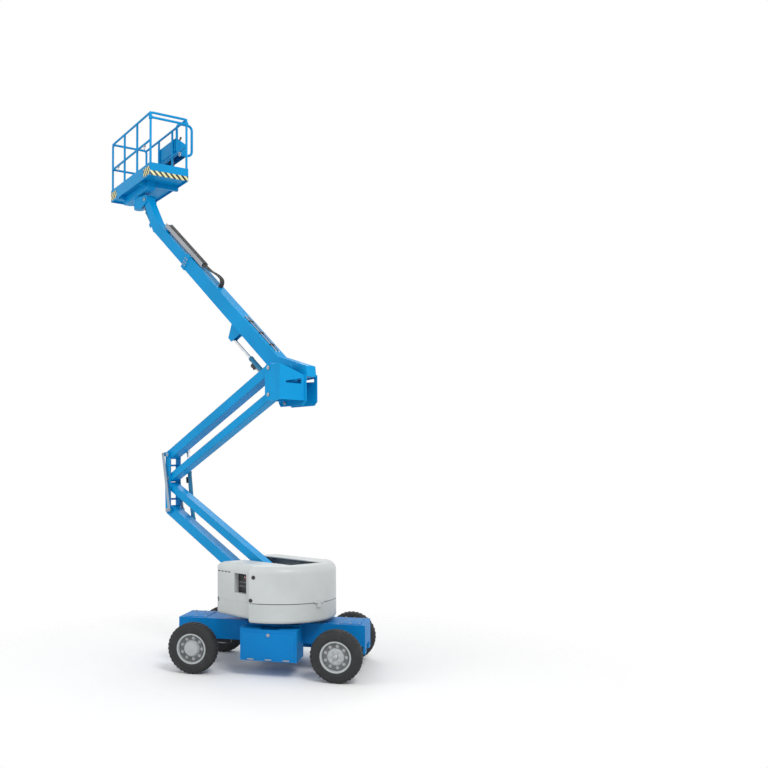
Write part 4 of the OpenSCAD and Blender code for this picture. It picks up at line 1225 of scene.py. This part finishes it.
# %% [markdown]
# Three thin hoses cross the middle pivot of the riser in a loose bow. Both ends go into the pivot itself,
# and the bow stands off it, clear of the two links. A straight run would be simpler to draw, but a hose
# that is fixed at both ends is never fitted tight.

# %% Hoses of the riser
RISER_HOSE, RISER_HOSES = 0.009, (-0.036, 0.0, 0.036)
BOW = ((-0.077, 0.0), (-0.105, 0.012), (-0.122, 0.070), (-0.126, 0.220), (-0.128, 0.460), (-0.126, 0.700),
       (-0.122, 0.850), (-0.103, 0.908), (-0.071, 0.920))
for i, y in enumerate(RISER_HOSES):
    bow = [pin("riser_middle") + ahead * x + cross * y + UP * z for x, z in BOW]
    hose(f"riser_hose_{i}", bow, RISER_HOSE, "middle_pivot")

# %% [markdown]
# The studio has a pale floor that takes a soft shadow. A floor that ran on would show a horizon, so its
# material fades out a few metres away from the machine, and the white surround takes over.

# %% Floor
FLOOR_HALF = 60.0
FADE = (2.2, 5.5)
floor_shape = bmesh.new()
bmesh.ops.create_grid(floor_shape, x_segments=4, y_segments=4, size=FLOOR_HALF)
floor_data = bpy.data.meshes.new("studio_floor")
floor_shape.to_mesh(floor_data)
floor_shape.free()
floor = bpy.data.objects.new("studio_floor", floor_data)
bpy.context.collection.objects.link(floor)
floor_paint, at, feed = material("studio_floor")
feed("Base Color", at.noise(0.3).blend((0.92, 0.92, 0.92), (0.95, 0.95, 0.95)))
feed("Roughness", at.noise(3.0) * 0.1 + 0.75)
away = at.make("ShaderNodeVectorMath", {0: at}, out="Value", operation="LENGTH")
feed("Alpha", 1 - away.ramp(*FADE))
floor_data.materials.append(floor_paint)
print("floor fades between", FADE, "m")

# %% [markdown]
# What the camera sees of the surround is plain white, and reflections see the same white. The light that
# it gives to the machine is weaker, so that the paint keeps its colour: more light would bleach the pale
# covers.

# %% Surround
SURROUND = 0.68
world = bpy.data.worlds.new("studio")
bpy.context.scene.world = world
world.use_nodes = True
sky = world.node_tree.nodes["Background"]
sky.inputs["Color"].default_value = (1.0, 1.0, 1.0, 1.0)
light_path = world.node_tree.nodes.new("ShaderNodeLightPath")
seen = Sock(world.node_tree, light_path.outputs["Is Camera Ray"])
for kind in ("Is Glossy Ray", "Is Transmission Ray"):
    seen = seen.maths("MAXIMUM", seen, Sock(world.node_tree, light_path.outputs[kind]))
strength = seen * (1.0 - SURROUND) + SURROUND
world.node_tree.links.new(strength.out, sky.inputs["Strength"])
print("surround lights at", SURROUND)

# %% [markdown]
# Three broad lamps model the form: a key from the right, a weaker fill from the left and one from behind
# that edges the booms. A sun would give hard shadows; wide discs give the soft ones of a studio.

# %% Lamps
AIM = Vector((-1.0, 0.8, 4.0))
LAMPS = (("key", (7.0, -9.0, 13.0), 6.0, 1040), ("fill", (-11.0, -8.0, 7.0), 7.0, 340),
         ("rim", (-3.0, 12.0, 12.0), 6.0, 300))
for name, place, size, watts in LAMPS:
    data = bpy.data.lights.new(name, "AREA")
    data.shape = "DISK"
    data.size = size
    data.energy = watts
    lamp = bpy.data.objects.new(name, data)
    lamp.location = place
    lamp.rotation_euler = (AIM - Vector(place)).to_track_quat("-Z", "Y").to_euler()
    bpy.context.collection.objects.link(lamp)
    print("lamp", name, watts, "W")

# %% [markdown]
# The camera was solved from the photograph: its focal length and its principal point are in pixels of
# 768. The principal point isn't in the middle of the picture, and a lens shift gives that without tilting
# the view.

# %% Camera
FRAME_PX = 768.0
FOCAL_PX = 874.9
PRINCIPAL_PX = (222.3, 439.5)
CAMERA_AT = (2.849, -12.642, 2.850)
CAMERA_RISE, CAMERA_TURN = 0.036, 0.282
lens = bpy.data.cameras.new("photo_camera")
lens.sensor_width = 36.0
lens.lens = FOCAL_PX / FRAME_PX * lens.sensor_width
lens.shift_x = 0.5 - PRINCIPAL_PX[0] / FRAME_PX
lens.shift_y = PRINCIPAL_PX[1] / FRAME_PX - 0.5
lens.clip_end = 300.0
camera = bpy.data.objects.new("photo_camera", lens)
camera.location = CAMERA_AT
camera.rotation_euler = (math.pi / 2 + CAMERA_RISE, 0.0, CAMERA_TURN)
bpy.context.collection.objects.link(camera)
bpy.context.scene.camera = camera
bpy.context.scene.view_settings.view_transform = "Standard"
print("lens", round(lens.lens, 1), "mm")
